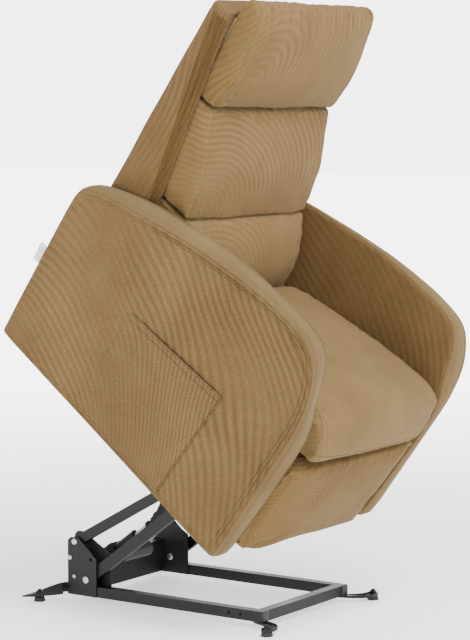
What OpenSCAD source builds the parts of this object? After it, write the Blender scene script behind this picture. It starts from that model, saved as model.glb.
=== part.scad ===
// Lift recliner in its raised pose: an upholstered chair on four lift arms over a steel base.
// Front of the base is y = 0 and the floor is z = 0 before the whole part is moved to its origin.

/* [Chair body] */
// Height of the arm panels
arm_h = 575; // [500:5:650]
// Depth of the arm panels, front to back
arm_depth = 826; // [780:1:880]
// Thickness of one arm panel
arm_t = 65; // [50:1:80]
// Clear width between the arm panels
seat_gap_w = 580; // [560:2:640]
// Radius of the arm panels' rounded edges
arm_edge_r = 9; // [4:1:14]

/* [Raised pose] */
// Forward tilt of the raised chair, in degrees
tilt = 38.4; // [34:0.2:40]
// Height of the chair's lower front corner above the floor
corner_z = 190; // [180:1:210]
// Distance of that corner behind the base's front face
corner_y = 30; // [20:1:40]

/* [Base] */
// Length of the side rails
base_len = 578; // [560:1:640]
// Width over the side rails
base_w = 381.6; // [376:0.2:400]
// Side of the square rail tube
rail_s = 26; // [24:0.5:28]
// Wall of the rail tube
rail_wall = 2; // [1:0.1:3]
// Height of the rails' underside above the floor
rail_z = 16; // [14:0.5:18]
// Diameter of a rubber foot pad
pad_d = 36; // [28:1:44]

/* [Lift linkage] */
// Height of the lower arms' rear pivot
low_pivot_z = 57; // [57:0.5:62]
// Distance of that pivot in front of the rails' rear ends
low_pivot_in = 54; // [48:1:62]
// Height of the upper arms' rear pivot
up_pivot_z = 149.7; // [144:0.1:152]
// Distance of that pivot in front of the rails' rear ends
up_pivot_in = 18.7; // [14:0.1:24]
// Height of a lower arm's channel
low_arm_h = 28; // [24:1:29]
// Height of an upper arm's channel
up_arm_h = 25; // [20:1:27]
// Thickness of the steel plates
plate_t = 3; // [2:0.25:3.5]

/* [Seat] */
// Height of the seat cushion's underside above the chair's bottom
deck_z = 289; // [285:1:295]
// Thickness of the seat cushion at its front edge
seat_t = 125; // [110:1:135]
// Depth of the seat cushion, front to back
seat_depth = 527; // [510:1:528]
// Extra thickness at the middle of the seat cushion
seat_crown = 24; // [10:1:28]

/* [Back] */
// Width over the back shell
back_w = 556; // [540:1:560]
// Height of the head cushion's top above the chair's bottom
back_top_z = 1030; // [1000:2:1080]
// Extra thickness at the middle of a back cushion
back_crown = 14; // [6:1:20]

/* [Legrest] */
// Width of the legrest panel
legrest_w = 566; // [540:2:570]
// Height of the legrest panel
legrest_h = 264; // [240:1:266]
// Thickness of the legrest pad
legrest_t = 56; // [44:1:60]

/* [Hidden] */

// Distance from the base's front face back to the middle of the part
origin_y = 208.5;
// One overrun for every through cut
cut = 2;
// Running clearance of a pin in its hole
run = 0.05;
// Clearance of soft and flat parts from their seats
seat_gap = 0.3;
// Clearance between two soft pieces
soft_gap = 1;
round_fn = 40;
hole_fn = 32;
// Waist of a bar against its round ends
link_waist_share = 0.96;

steel_colour = "#403f3e";
zinc_colour = "#b9bbbd";
fabric_colour = "#a3895f";
wood_colour = "#c8a878";
rubber_colour = "#1d1d1d";
plastic_colour = "#2c2c2e";

arm_in = seat_gap_w / 2;
arm_out = arm_in + arm_t;

function chair_to_base(p) = [
    corner_y + p[0] * cos(tilt) - p[1] * sin(tilt),
    corner_z + p[0] * sin(tilt) + p[1] * cos(tilt)
];
function dir_angle(a, b) = atan2(b[1] - a[1], b[0] - a[0]);
function unit(a) = [cos(a), sin(a)];

module place_base() {
    translate([0, -origin_y, 0]) children();
}

module place_chair() {
    translate([0, corner_y - origin_y, corner_z]) rotate([tilt, 0, 0]) children();
}

module both_sides() {
    children();
    mirror([1, 0, 0]) children();
}

// A flat outline drawn in the side view, given thickness from x0 towards +x
module side_slab(x0, t) {
    translate([x0, 0, 0]) rotate([90, 0, 90]) linear_extrude(height = t) children();
}

// A round bar along x at a side view place
module cross_pin(p, r, x0, x1) {
    translate([x0, p[0], p[1]]) rotate([0, 90, 0]) cylinder(r = r, h = x1 - x0, $fn = round_fn);
}

// A bar outline from a to b, with round ends that stand a little wider than its waist
module link_outline(a, b, h) {
    waist = h * link_waist_share;
    translate(a) circle(d = h, $fn = round_fn);
    translate(b) circle(d = h, $fn = round_fn);
    translate(a) rotate(dir_angle(a, b)) translate([0, -waist / 2]) square([norm(b - a), waist]);
}

module hole_at(p, r) {
    translate(p) circle(r = r, $fn = hole_fn);
}

// Outlines as closed smooth curves through hand-chosen points
function spline_at(a, b, c, d, t) =
    (2 * b + (c - a) * t + (2 * a - 5 * b + 4 * c - d) * t * t + (3 * b - a - 3 * c + d) * t * t * t) / 2;
function smooth_loop(p, steps) = [
    for (i = [0 : len(p) - 1], k = [0 : steps - 1])
        let (n = len(p))
        spline_at(p[(i + n - 1) % n], p[i], p[(i + 1) % n], p[(i + 2) % n], k / steps)
];
// Outlines run up their front, back along their top and down again, so outward is to their left
function edge_out(a, b) = let (d = b - a, l = norm(d)) [-d[1] / l, d[0] / l];
function corner_out(p, i) =
    let (
        n = len(p),
        s = edge_out(p[(i + n - 1) % n], p[i]) + edge_out(p[i], p[(i + 1) % n]),
        l = norm(s)
    )
    s / l;
function grown(p, by) = [for (i = [0 : len(p) - 1]) p[i] + by[i] * corner_out(p, i)];

// Skin over equal rings of points, closed by fans round the middle of its first and last ring
function middle(ring) = [for (p = ring) 1] * ring / len(ring);

module ring_skin(rings) {
    n = len(rings[0]);
    m = len(rings);
    polyhedron(
        points = concat([for (r = rings, p = r) p], [middle(rings[0]), middle(rings[m - 1])]),
        faces = concat(
            [for (i = [0 : n - 1]) [m * n, (i + 1) % n, i]],
            [for (i = [0 : n - 1]) [m * n + 1, (m - 1) * n + i, (m - 1) * n + (i + 1) % n]],
            [for (j = [0 : m - 2], i = [0 : n - 1]) [j * n + i, j * n + (i + 1) % n, (j + 1) * n + i]],
            [for (j = [0 : m - 2], i = [0 : n - 1])
                [j * n + (i + 1) % n, (j + 1) * n + (i + 1) % n, (j + 1) * n + i]]
        ),
        convexity = 6
    );
}

// Widths along a cushion as shares of its half width, closer together towards its ends
cushion_shares = [-1, -0.985, -0.94, -0.87, -0.7, -0.45, -0.2, 0, 0.2, 0.45, 0.7, 0.87, 0.94, 0.985, 1];

draw_share = 0.55;
tape_share = 0.7;
tape_deep = 1;
tape_w = 20;

function held(p, low, high) = [
    min(max(p[0], low[0]), high[0]),
    min(max(p[1], low[1]), high[1])
];

// A cushion swept across x: its sides draw in over side_r and its middle crowns where weight is 1.
// It is flat where it meets the limits low and high, which are what it rests against.
// A strip of hook tape is let into it at the side view place tape.
module cushion(outline, weights, half_w, crown, side_r, low, high, tape) {
    rings = [for (s = cushion_shares)
        let (
            x = s * half_w,
            past = max(0, (abs(x) - (half_w - side_r)) / side_r),
            draw = side_r * (1 - sqrt(max(0, 1 - past * past))),
            lift = crown * (1 - s * s)
        )
        [for (q = grown(outline, [for (w = weights) w * lift - draw * draw_share]))
            let (p = held(q, low, high))
            [x, p[0], p[1]]]
    ];
    difference() {
        ring_skin(rings);
        translate([-tape_share * half_w, tape[0] - tape_deep, tape[1] - tape_deep])
            cube([2 * tape_share * half_w, 2 * tape_deep + tape[2], 2 * tape_deep + tape[3]]);
    }
}

// Side rails, cross bars and towers
rail_out = base_w / 2;
rail_in = rail_out - rail_s;
rail_top = rail_z + rail_s;
rail_hole_r = 3;
rail_hole_y = 62;
rail_hole_step = 34;

module square_tube(length) {
    difference() {
        cube([length, rail_s, rail_s]);
        translate([-cut, rail_wall, rail_wall])
            cube([length + 2 * cut, rail_s - 2 * rail_wall, rail_s - 2 * rail_wall]);
    }
}

module side_rails() {
    color(steel_colour) place_base() both_sides() difference() {
        translate([rail_out, 0, rail_z]) rotate([0, 0, 90]) square_tube(base_len);
        for (k = [0, 1])
            translate([rail_out - rail_wall - cut, rail_hole_y + k * rail_hole_step, rail_z + rail_s / 2])
                rotate([0, 90, 0]) cylinder(r = rail_hole_r, h = rail_wall + 2 * cut, $fn = hole_fn);
    }
}

module front_cross_bar() {
    color(steel_colour) place_base() translate([-rail_in, 0, rail_z]) square_tube(2 * rail_in);
}

module rear_cross_bar() {
    color(steel_colour) place_base()
        translate([-(rail_in - plate_t), base_len - rail_s, rail_z]) square_tube(2 * (rail_in - plate_t));
}

low_pivot = [base_len - low_pivot_in, low_pivot_z];
up_pivot = [base_len - up_pivot_in, up_pivot_z];
low_pin_r = 7;
up_pin_r = 6;
pin_head_h = 2.5;
pin_head_over = 2;
rivet_r = 4.5;
small_rivet_r = 3;
tower_past = 2;
outer_plate_w = 89;
inner_plate_w = 113;
outer_plate_over = 10.5;
inner_plate_over = 22;
tower_rear = base_len + tower_past;
outer_front = tower_rear - outer_plate_w;
inner_front = tower_rear - inner_plate_w;
outer_top = up_pivot_z + outer_plate_over;
inner_top = up_pivot_z + inner_plate_over;
outer_slant = [46, 48];
inner_slant = [76, 50];
tower_corner = 9;
rear_rivet_in = 6.5;
rear_rivet_drop = 41;
small_rivet_in = 20;
small_rivet_rise = 5;
slot_hole_in = 17;
slot_hole_drop = 40;
inner_rivet_in = 13;
inner_rivet_drop = 54;
rear_rivet = [tower_rear - rear_rivet_in, up_pivot_z - rear_rivet_drop];
small_rivet = [tower_rear - small_rivet_in, low_pivot_z + small_rivet_rise];
slot_hole = [outer_front + slot_hole_in, up_pivot_z - slot_hole_drop];
inner_rivet = [inner_front + inner_rivet_in, inner_top - inner_rivet_drop];
mid_hole_r = 4;

module tower_outline(front, top, slant) {
    polygon([
        [front, rail_z],
        [tower_rear, rail_z],
        [tower_rear, top - tower_corner],
        [tower_rear - tower_corner, top],
        [front + slant[0] + tower_corner, top],
        [front, top - slant[1]]
    ]);
}

module tower_outer_plates() {
    color(steel_colour) place_base() both_sides() side_slab(rail_out, plate_t) difference() {
        tower_outline(outer_front, outer_top, outer_slant);
        hole_at(low_pivot, low_pin_r);
        hole_at(up_pivot, up_pin_r);
        hole_at(rear_rivet, rivet_r);
        hole_at(small_rivet, small_rivet_r);
        hole_at(slot_hole, mid_hole_r);
    }
}

module tower_inner_plates() {
    color(steel_colour) place_base() both_sides() side_slab(rail_in - plate_t, plate_t) difference() {
        tower_outline(inner_front, inner_top, inner_slant);
        hole_at(low_pivot, low_pin_r);
        hole_at(up_pivot, up_pin_r);
        hole_at(rear_rivet, rivet_r);
        hole_at(small_rivet, small_rivet_r);
        hole_at(inner_rivet, mid_hole_r);
    }
}

module headed_pin(p, r) {
    cross_pin(p, r, rail_in - plate_t - pin_head_h, rail_out + plate_t + pin_head_h);
    cross_pin(p, r + pin_head_over, rail_out + plate_t, rail_out + plate_t + pin_head_h);
    cross_pin(p, r + pin_head_over, rail_in - plate_t - pin_head_h, rail_in - plate_t);
}

module tower_pivot_pins() {
    color(zinc_colour) place_base() both_sides() {
        headed_pin(low_pivot, low_pin_r);
        headed_pin(up_pivot, up_pin_r);
    }
}

module tower_rivets() {
    color(zinc_colour) place_base() both_sides() {
        headed_pin(rear_rivet, rivet_r);
        headed_pin(small_rivet, small_rivet_r);
    }
}

channel_h = 59;
channel_depth = 30;
channel_in = 35;
channel_front = tower_rear - channel_in;

module rear_cross_channel() {
    color(steel_colour) place_base()
        translate([-(rail_in - plate_t), channel_front, rail_top]) difference() {
            cube([2 * (rail_in - plate_t), channel_depth, channel_h]);
            translate([-cut, plate_t, plate_t])
                cube([2 * (rail_in - plate_t) + 2 * cut, channel_depth, channel_h - 2 * plate_t]);
        }
}

// Lift actuator: its rear pivot on the cross channel and its line to the upper arms
act_x = -100;
act_pivot_in = 48;
act_pivot_z = 93.7;
act_pivot = [base_len - act_pivot_in, act_pivot_z];
act_pin_r = 6;
lug_r = 11;
lug_w = 12;
ear_t = 4;
ear_gap = 0.6;

module actuator_clevis() {
    color(steel_colour) place_base() {
        for (side = [-1, 1])
            side_slab(act_x + side * (lug_w / 2 + ear_gap + ear_t / 2) - ear_t / 2, ear_t) {
                translate(act_pivot) circle(r = lug_r, $fn = round_fn);
                translate([act_pivot[0], act_pivot[1] - lug_r])
                    square([channel_front - act_pivot[0], 2 * lug_r]);
            }
        cross_pin(act_pivot, act_pin_r, act_x - lug_w / 2 - ear_gap - ear_t, act_x + lug_w / 2 + ear_gap + ear_t);
    }
}

// Feet
front_foot_out = 48.7;
front_foot_ahead = 46;
front_foot = [rail_out + front_foot_out, -front_foot_ahead];
strap_w = 26;
strap_t = 5;
strap_start = [rail_out - rail_s / 2, rail_s];
rear_foot_out = 52.2;
rear_foot_past = 53;
rear_foot = [rail_out + rear_foot_out, base_len + rear_foot_past];
stud_r = 4;
nut_r = 7.5;
nut_h = 6;
pad_h = 9;
pad_chamfer = 2;
stud_top = 32;
leg_start_in = 20;
leg_start = [rail_out - rail_s / 2, base_len - leg_start_in];
leg_w = 36;
leg_tip_w = 8;
leg_over = 2;
leg_top = rail_top + leg_over;
leg_sheet = 3.5;
leg_tip_past = 36;
leg_foot_z = 19;
leg_flat_share = 0.3;
leg_knee_share = 0.55;
leg_knee_drop_share = 0.35;
leg_heel_share = 0.78;
leg_taper_share = 0.3;
leg_run = norm(rear_foot - leg_start);
leg_angle = dir_angle(leg_start, rear_foot);

module front_foot_straps() {
    color(steel_colour) place_base() both_sides() translate([0, 0, rail_z - strap_t])
        linear_extrude(height = strap_t) difference() {
            link_outline(strap_start, front_foot, strap_w);
            hole_at(front_foot, stud_r);
        }
}

module leg_side(drop, start) {
    polygon([
        [start, rail_z - drop],
        [start, leg_top - drop],
        [leg_run * leg_flat_share, leg_top - drop],
        [leg_run * leg_knee_share, leg_top - (leg_top - leg_foot_z) * leg_knee_drop_share - drop],
        [leg_run - nut_r - leg_sheet, leg_foot_z - drop],
        [leg_run + nut_r + leg_sheet, leg_foot_z - drop],
        [leg_run + leg_tip_past, leg_foot_z - leg_sheet - drop],
        [leg_run + leg_tip_past, leg_foot_z - 2 * leg_sheet - drop],
        [leg_run, leg_foot_z - 2 * leg_sheet - drop],
        [leg_run * leg_heel_share, leg_foot_z - leg_sheet - drop],
        [leg_run * leg_knee_share, leg_foot_z - drop]
    ]);
}

module leg_plan(inside) {
    polygon([
        [-cut, inside - leg_w / 2],
        [leg_run + leg_tip_past * leg_taper_share, inside - leg_w / 2],
        [leg_run + leg_tip_past, min(0, inside - leg_tip_w / 2)],
        [leg_run + leg_tip_past, max(0, leg_tip_w / 2 - inside)],
        [leg_run + leg_tip_past * leg_taper_share, leg_w / 2 - inside],
        [-cut, leg_w / 2 - inside]
    ]);
}

module rear_leg() {
    difference() {
        intersection() {
            translate([0, leg_w, 0]) rotate([90, 0, 0]) linear_extrude(height = 2 * leg_w) leg_side(0, 0);
            linear_extrude(height = 2 * leg_top) leg_plan(0);
        }
        intersection() {
            translate([0, leg_w, 0]) rotate([90, 0, 0]) linear_extrude(height = 2 * leg_w)
                leg_side(leg_sheet, -cut);
            linear_extrude(height = 2 * leg_top) leg_plan(leg_sheet);
        }
        translate([leg_run, 0, 0]) cylinder(r = stud_r, h = leg_top, $fn = hole_fn);
    }
}

// The leg starts clear behind the tower plates, where it is welded to their rear edge
module rear_foot_legs() {
    color(steel_colour) place_base() both_sides() difference() {
        translate([leg_start[0], leg_start[1], 0]) rotate([0, 0, leg_angle]) rear_leg();
        translate([0, 0, -cut]) cube([2 * rail_out, tower_rear, leg_top + 2 * cut]);
    }
}

module at_feet() {
    both_sides() {
        translate([front_foot[0], front_foot[1], 0]) children();
        translate([rear_foot[0], rear_foot[1], 0]) children();
    }
}

module levelling_studs() {
    color(zinc_colour) place_base() at_feet()
        translate([0, 0, pad_h]) cylinder(r = stud_r, h = stud_top - pad_h, $fn = hole_fn);
    color(zinc_colour) place_base() both_sides() {
        translate([front_foot[0], front_foot[1], rail_z]) cylinder(r = nut_r, h = nut_h, $fn = 6);
        translate([rear_foot[0], rear_foot[1], leg_foot_z]) cylinder(r = nut_r, h = nut_h, $fn = 6);
    }
}

module foot_pads() {
    color(rubber_colour) place_base() at_feet() rotate_extrude($fn = 48)
        polygon([
            [0, 0],
            [pad_d / 2 - pad_chamfer, 0],
            [pad_d / 2, pad_chamfer],
            [pad_d / 2, pad_h - pad_chamfer],
            [pad_d / 2 - pad_chamfer, pad_h],
            [0, pad_h]
        ]);
}

// Lift arms: front pivots are fixed places on the chair, so the arms' lengths follow the raised pose
low_front_chair = [174.8, 71.7];
up_front_chair = [195.5, 111.6];
low_front = chair_to_base(low_front_chair);
up_front = chair_to_base(up_front_chair);
arm_web_in = 6.8;
arm_web_x = rail_out - arm_web_in;
arm_web_t = 3;
arm_flange = 14;
flange_t = 2.5;
bush_wall = 3.5;
bush_gap = 0.5;
flange_inset = 16;
low_tube_len = 360;
up_tube_len = 260;
tube_wall = 2.5;
low_tube_r = low_arm_h / 2 - flange_t;
up_tube_r = up_arm_h / 2 - flange_t;
bracket_in = 4.8;
bracket_x = rail_in - bracket_in;
bracket_t = 4;
washer_t = 2;

function along_arm(a, b, s, off) = a + s * unit(dir_angle(a, b)) + off * unit(dir_angle(a, b) - 90);

// Pressed channel with a web outside, flanges inward and a welded bush at each pivot
module lift_arm(a, b, h, rear_r, front_r) {
    length = norm(b - a);
    inside = bracket_x + bracket_t + bush_gap;
    difference() {
        union() {
            side_slab(arm_web_x, arm_web_t) link_outline(a, b, h);
            side_slab(arm_web_x - arm_flange, arm_flange) translate(a) rotate(dir_angle(a, b))
                for (z = [-h / 2, h / 2 - flange_t])
                    translate([flange_inset, z]) square([length - 2 * flange_inset, flange_t]);
            cross_pin(a, rear_r + bush_wall, rail_in + bush_gap, rail_out - bush_gap);
            cross_pin(b, front_r + bush_wall, inside, arm_web_x + arm_web_t);
        }
        cross_pin(a, rear_r + run, 0, 2 * rail_out);
        cross_pin(b, front_r + run, 0, 2 * rail_out);
    }
}

module lower_lift_arms() {
    color(steel_colour) place_base() both_sides()
        lift_arm(low_pivot, low_front, low_arm_h, low_pin_r, low_pin_r);
}

module arm_cross_tube(p, r) {
    difference() {
        cross_pin(p, r, -arm_web_x, arm_web_x);
        cross_pin(p, r - tube_wall, -arm_web_x - cut, arm_web_x + cut);
    }
}

module lower_cross_tube() {
    color(steel_colour) place_base()
        arm_cross_tube(along_arm(low_pivot, low_front, low_tube_len, 0), low_tube_r);
}

module upper_lift_arms() {
    color(steel_colour) place_base() both_sides() difference() {
        lift_arm(up_pivot, up_front, up_arm_h, up_pin_r, up_pin_r - run);
        cross_pin(up_front, up_pin_r, 0, 2 * rail_out);
    }
}

up_tube_place = along_arm(up_pivot, up_front, up_tube_len, 0);

module upper_cross_tube() {
    color(steel_colour) place_base() arm_cross_tube(up_tube_place, up_tube_r);
}

// The lift actuator pushes on two ears that hang from the upper cross tube
ear_along = 204;
ear_drop = 37;
ear_end_r = 11;
push_point = along_arm(up_pivot, up_front, ear_along, -ear_drop);
push_pin_r = 5;
eye_w = 14;

module actuator_ears() {
    color(steel_colour) place_base() {
        difference() {
            for (side = [-1, 1])
                side_slab(act_x + side * (eye_w / 2 + ear_gap + ear_t / 2) - ear_t / 2, ear_t)
                    link_outline(push_point, up_tube_place, 2 * ear_end_r);
            cross_pin(up_tube_place, up_tube_r, 2 * act_x, 0);
        }
        cross_pin(push_point, push_pin_r,
            act_x - eye_w / 2 - ear_gap - ear_t, act_x + eye_w / 2 + ear_gap + ear_t);
    }
}

// The open pivot of the four-bar: this pin runs in a wide hole in the chair's lift bracket
module upper_front_pins() {
    inside = bracket_x - bush_gap - washer_t;
    color(zinc_colour) place_base() both_sides() {
        cross_pin(up_front, up_pin_r, inside - pin_head_h, arm_web_x + arm_web_t + pin_head_h);
        cross_pin(up_front, up_pin_r + pin_head_over, arm_web_x + arm_web_t, arm_web_x + arm_web_t + pin_head_h);
        cross_pin(up_front, open_hole_r + washer_t, inside - pin_head_h, inside + washer_t);
    }
}

// Lift actuator parts lie along the line from its rear pivot to the push point
act_angle = dir_angle(act_pivot, push_point);
act_len = norm(push_point - act_pivot);
gearbox_start = 14;
gearbox_len = 34;
gearbox_h = 44;
gearbox_w = 40;
gearbox_corner = 6;
motor_r = 20;
motor_len = 110;
motor_along = 30;
motor_drop = 8;
motor_cap = 5;
outer_r = 16;
outer_end = 118;
rod_r = 8.5;
rod_start = 82;
collar_back = 44;
collar_start = act_len - collar_back;
collar_len = 8;
collar_r = 12.5;
fork_body_r = 10;
eye_r = 12;
eye_clear = 2.4;

module along_actuator() {
    place_base() translate([act_x, act_pivot[0], act_pivot[1]]) rotate([act_angle, 0, 0]) children();
}

// A rod or tube along the actuator's line, from s0 to s1
module actuator_bar(r, s0, s1) {
    translate([0, s0, 0]) rotate([-90, 0, 0]) cylinder(r = r, h = s1 - s0, $fn = round_fn);
}

module lift_gearbox() {
    color(plastic_colour) along_actuator() difference() {
        union() {
            side_slab(-gearbox_w / 2, gearbox_w) polygon([
                [gearbox_start, -gearbox_h / 2 + gearbox_corner],
                [gearbox_start + gearbox_corner, -gearbox_h / 2],
                [gearbox_start + gearbox_len, -gearbox_h / 2],
                [gearbox_start + gearbox_len, gearbox_h / 2],
                [gearbox_start + gearbox_corner, gearbox_h / 2],
                [gearbox_start, gearbox_h / 2 - gearbox_corner]
            ]);
            side_slab(-lug_w / 2, lug_w) {
                circle(r = lug_r, $fn = round_fn);
                translate([0, -lug_r]) square([gearbox_start + cut, 2 * lug_r]);
            }
        }
        cross_pin([0, 0], act_pin_r + run, -gearbox_w, gearbox_w);
    }
}

module lift_motor() {
    color(plastic_colour) along_actuator() {
        cross_pin([motor_along, motor_drop], motor_r, gearbox_w / 2, gearbox_w / 2 + motor_len);
        cross_pin([motor_along, motor_drop], motor_r - motor_cap,
            gearbox_w / 2 + motor_len, gearbox_w / 2 + motor_len + motor_cap);
    }
}

module lift_outer_tube() {
    color(steel_colour) along_actuator() difference() {
        actuator_bar(outer_r, gearbox_start + gearbox_len, outer_end);
        actuator_bar(rod_r + run, gearbox_start + gearbox_len - cut, outer_end + cut);
    }
}

module lift_rod() {
    color(zinc_colour) along_actuator() actuator_bar(rod_r, rod_start, collar_start);
}

module lift_rod_fork() {
    color(steel_colour) along_actuator() {
        actuator_bar(collar_r, collar_start, collar_start + collar_len);
        actuator_bar(fork_body_r, collar_start + collar_len, act_len - eye_r);
        side_slab(-eye_w / 2, eye_w) difference() {
            union() {
                translate([act_len, 0]) circle(r = eye_r, $fn = round_fn);
                translate([act_len - 2 * eye_r, -eye_r]) square([2 * eye_r, 2 * eye_r]);
            }
            hole_at([act_len, 0], push_pin_r + eye_clear);
        }
    }
}

// Arm panels: the top band slopes outward, so the outer outline is lower than the inner one
arm_inner_shares = [
    [0.036, 0], [0.009, 0.014], [0, 0.07], [0, 0.295], [0.002, 0.52], [0.016, 0.671], [0.053, 0.783],
    [0.079, 0.89], [0.099, 0.944], [0.116, 0.97], [0.142, 0.99], [0.195, 1], [0.287, 0.998], [0.441, 0.993],
    [0.608, 0.951], [0.786, 0.896], [0.938, 0.81], [0.99, 0.765], [1, 0.739], [0.998, 0.63], [0.983, 0.348],
    [0.967, 0.08], [0.959, 0.014], [0.932, 0], [0.484, 0]
];
arm_outer_shares = [
    [0.036, 0], [0.009, 0.014], [0.004, 0.07], [0.011, 0.295], [0.018, 0.52], [0.022, 0.671], [0.038, 0.8],
    [0.063, 0.878], [0.091, 0.93], [0.113, 0.962], [0.142, 0.978], [0.195, 0.988], [0.287, 0.99],
    [0.441, 0.965], [0.608, 0.922], [0.786, 0.856], [0.908, 0.807], [0.983, 0.76], [0.996, 0.734],
    [0.995, 0.63], [0.98, 0.348], [0.965, 0.08], [0.956, 0.014], [0.932, 0], [0.484, 0]
];
arm_edge_steps = 3;
arm_inner = smooth_loop([for (s = arm_inner_shares) [s[0] * arm_depth, s[1] * arm_h]], 2);
arm_outer = smooth_loop([for (s = arm_outer_shares) [s[0] * arm_depth, s[1] * arm_h]], 2);

function arm_ring(x, draw) =
    let (share = (x - arm_in) / arm_t, mix = arm_inner * (1 - share) + arm_outer * share)
    [for (p = grown(mix, [for (q = mix) -draw])) [x, p[0], p[1]]];

arm_bolt_r = 4;
arm_bolt_deep = 30;
arm_bolts = [[210, 266], [560, 266]];

// Each panel is bolted through its inner face to the seat frame's side rail
module arm_panel() {
    difference() {
        ring_skin(concat(
            [for (k = [0 : arm_edge_steps])
                let (a = 90 * k / arm_edge_steps)
                arm_ring(arm_in + arm_edge_r * (1 - cos(a)), arm_edge_r * (1 - sin(a)))],
            [for (k = [arm_edge_steps : -1 : 0])
                let (a = 90 * k / arm_edge_steps)
                arm_ring(arm_out - arm_edge_r * (1 - cos(a)), arm_edge_r * (1 - sin(a)))]
        ));
        for (p = arm_bolts)
            cross_pin(p, arm_bolt_r, arm_in - cut, arm_in + arm_bolt_deep);
    }
}

module arm_panel_left() {
    color(fabric_colour) place_chair() arm_panel();
}

module arm_panel_right() {
    color(fabric_colour) place_chair() mirror([1, 0, 0]) arm_panel();
}

// Patch pocket on the right arm's outer face, open along its top edge
pocket_front = 210;
pocket_rear = 522;
pocket_bottom = 14;
pocket_top_front = 317;
pocket_top_rear = 299;
pocket_skin = 2;
pocket_room = 5;
pocket_seam = 8;

module pocket_outline(seam) {
    polygon([
        [pocket_front + seam, pocket_bottom + seam],
        [pocket_rear - seam, pocket_bottom + seam],
        [pocket_rear - seam, pocket_top_rear + (seam > 0 ? pocket_seam : 0)],
        [pocket_front + seam, pocket_top_front + (seam > 0 ? pocket_seam : 0)]
    ]);
}

module side_pocket() {
    color(fabric_colour) place_chair() difference() {
        side_slab(-arm_out - pocket_room - pocket_skin, pocket_room + pocket_skin) pocket_outline(0);
        side_slab(-arm_out - pocket_room, pocket_room + cut) pocket_outline(pocket_seam);
    }
}

skirt_y = 766;
skirt_t = 16;
skirt_z = 10;
skirt_h = 225;

module rear_skirt() {
    color(fabric_colour) place_chair()
        translate([-(arm_in - seat_gap), skirt_y, skirt_z]) cube([2 * (arm_in - seat_gap), skirt_t, skirt_h]);
}

// Seat frame
spring_t = 3.5;
frame_top = deck_z - spring_t - seat_gap;
frame_h = 40;
frame_bottom = frame_top - frame_h;
side_rail_in = 255;
side_rail_front = 92;
side_rail_rear = 700;
front_beam_y = 105;
front_beam_w = 34;
rear_beam_y = 585;
rear_beam_w = 35;

module seat_side_rails() {
    color(wood_colour) place_chair() both_sides()
        translate([side_rail_in, side_rail_front, frame_bottom])
            cube([arm_in - seat_gap - side_rail_in, side_rail_rear - side_rail_front, frame_h]);
}

module seat_cross_beams() {
    color(wood_colour) place_chair() {
        translate([-side_rail_in, front_beam_y, frame_bottom]) cube([2 * side_rail_in, front_beam_w, frame_h]);
        translate([-side_rail_in, rear_beam_y, frame_bottom]) cube([2 * side_rail_in, rear_beam_w, frame_h]);
    }
}

mech_h = 40;
mech_leg = 22;
mech_out = bracket_x;

module mechanism_rails() {
    color(steel_colour) place_chair() both_sides() {
        translate([mech_out - plate_t, front_beam_y, frame_bottom - mech_h])
            cube([plate_t, rear_beam_y + rear_beam_w - front_beam_y, mech_h]);
        translate([mech_out - mech_leg, front_beam_y, frame_bottom - plate_t])
            cube([mech_leg, rear_beam_y + rear_beam_w - front_beam_y, plate_t]);
    }
}

// The chair's lift brackets: a close bore for the lower arms and a wide one at the open pivot
open_hole_r = 11.5;
bracket_r = 19;
bracket_foot = [138, 256];

module lift_brackets() {
    color(steel_colour) place_chair() both_sides() side_slab(bracket_x, bracket_t) difference() {
        union() {
            link_outline(low_front_chair, up_front_chair, 2 * bracket_r);
            polygon([
                [low_front_chair[0] - bracket_r, low_front_chair[1]],
                [up_front_chair[0] + bracket_r, up_front_chair[1]],
                [bracket_foot[1], frame_bottom - mech_h],
                [bracket_foot[1], frame_bottom - plate_t],
                [bracket_foot[0], frame_bottom - plate_t],
                [bracket_foot[0], frame_bottom - mech_h]
            ]);
        }
        hole_at(low_front_chair, low_pin_r);
        hole_at(up_front_chair, open_hole_r);
    }
}

module lower_front_pins() {
    color(zinc_colour) place_chair() both_sides() {
        cross_pin(low_front_chair, low_pin_r, bracket_x - pin_head_h, arm_web_x + arm_web_t + bush_gap + pin_head_h);
        cross_pin(low_front_chair, low_pin_r + pin_head_over, bracket_x - pin_head_h, bracket_x);
        cross_pin(low_front_chair, low_pin_r + pin_head_over,
            arm_web_x + arm_web_t + bush_gap, arm_web_x + arm_web_t + bush_gap + pin_head_h);
    }
}

// Sinuous springs lie across the beams' tops, flat wire turned from side to side
spring_count = 5;
spring_pitch = 90;
spring_wire = 4;
spring_turns = 12;
spring_swing = 22;
spring_margin = 8;
spring_start = front_beam_y + spring_margin;
spring_run = rear_beam_y + rear_beam_w - spring_margin - spring_start;
spring_bend_r = spring_run / spring_turns / 2;

module spring_outline() {
    for (k = [0 : spring_turns - 1])
        translate([(k % 2 == 0 ? 1 : -1) * spring_swing, spring_start + (2 * k + 1) * spring_bend_r])
            intersection() {
                difference() {
                    circle(r = spring_bend_r + spring_wire / 2, $fn = hole_fn);
                    circle(r = spring_bend_r - spring_wire / 2, $fn = hole_fn);
                }
                translate([k % 2 == 0 ? 0 : -2 * spring_bend_r, -2 * spring_bend_r])
                    square([2 * spring_bend_r, 4 * spring_bend_r]);
            }
    for (k = [0 : spring_turns])
        translate([-spring_swing, spring_start + 2 * k * spring_bend_r - spring_wire / 2])
            square([2 * spring_swing, spring_wire]);
}

module seat_springs() {
    color(zinc_colour) place_chair()
        for (k = [0 : spring_count - 1])
            translate([(k - (spring_count - 1) / 2) * spring_pitch, 0, frame_top])
                linear_extrude(height = spring_t) spring_outline();
}

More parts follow.
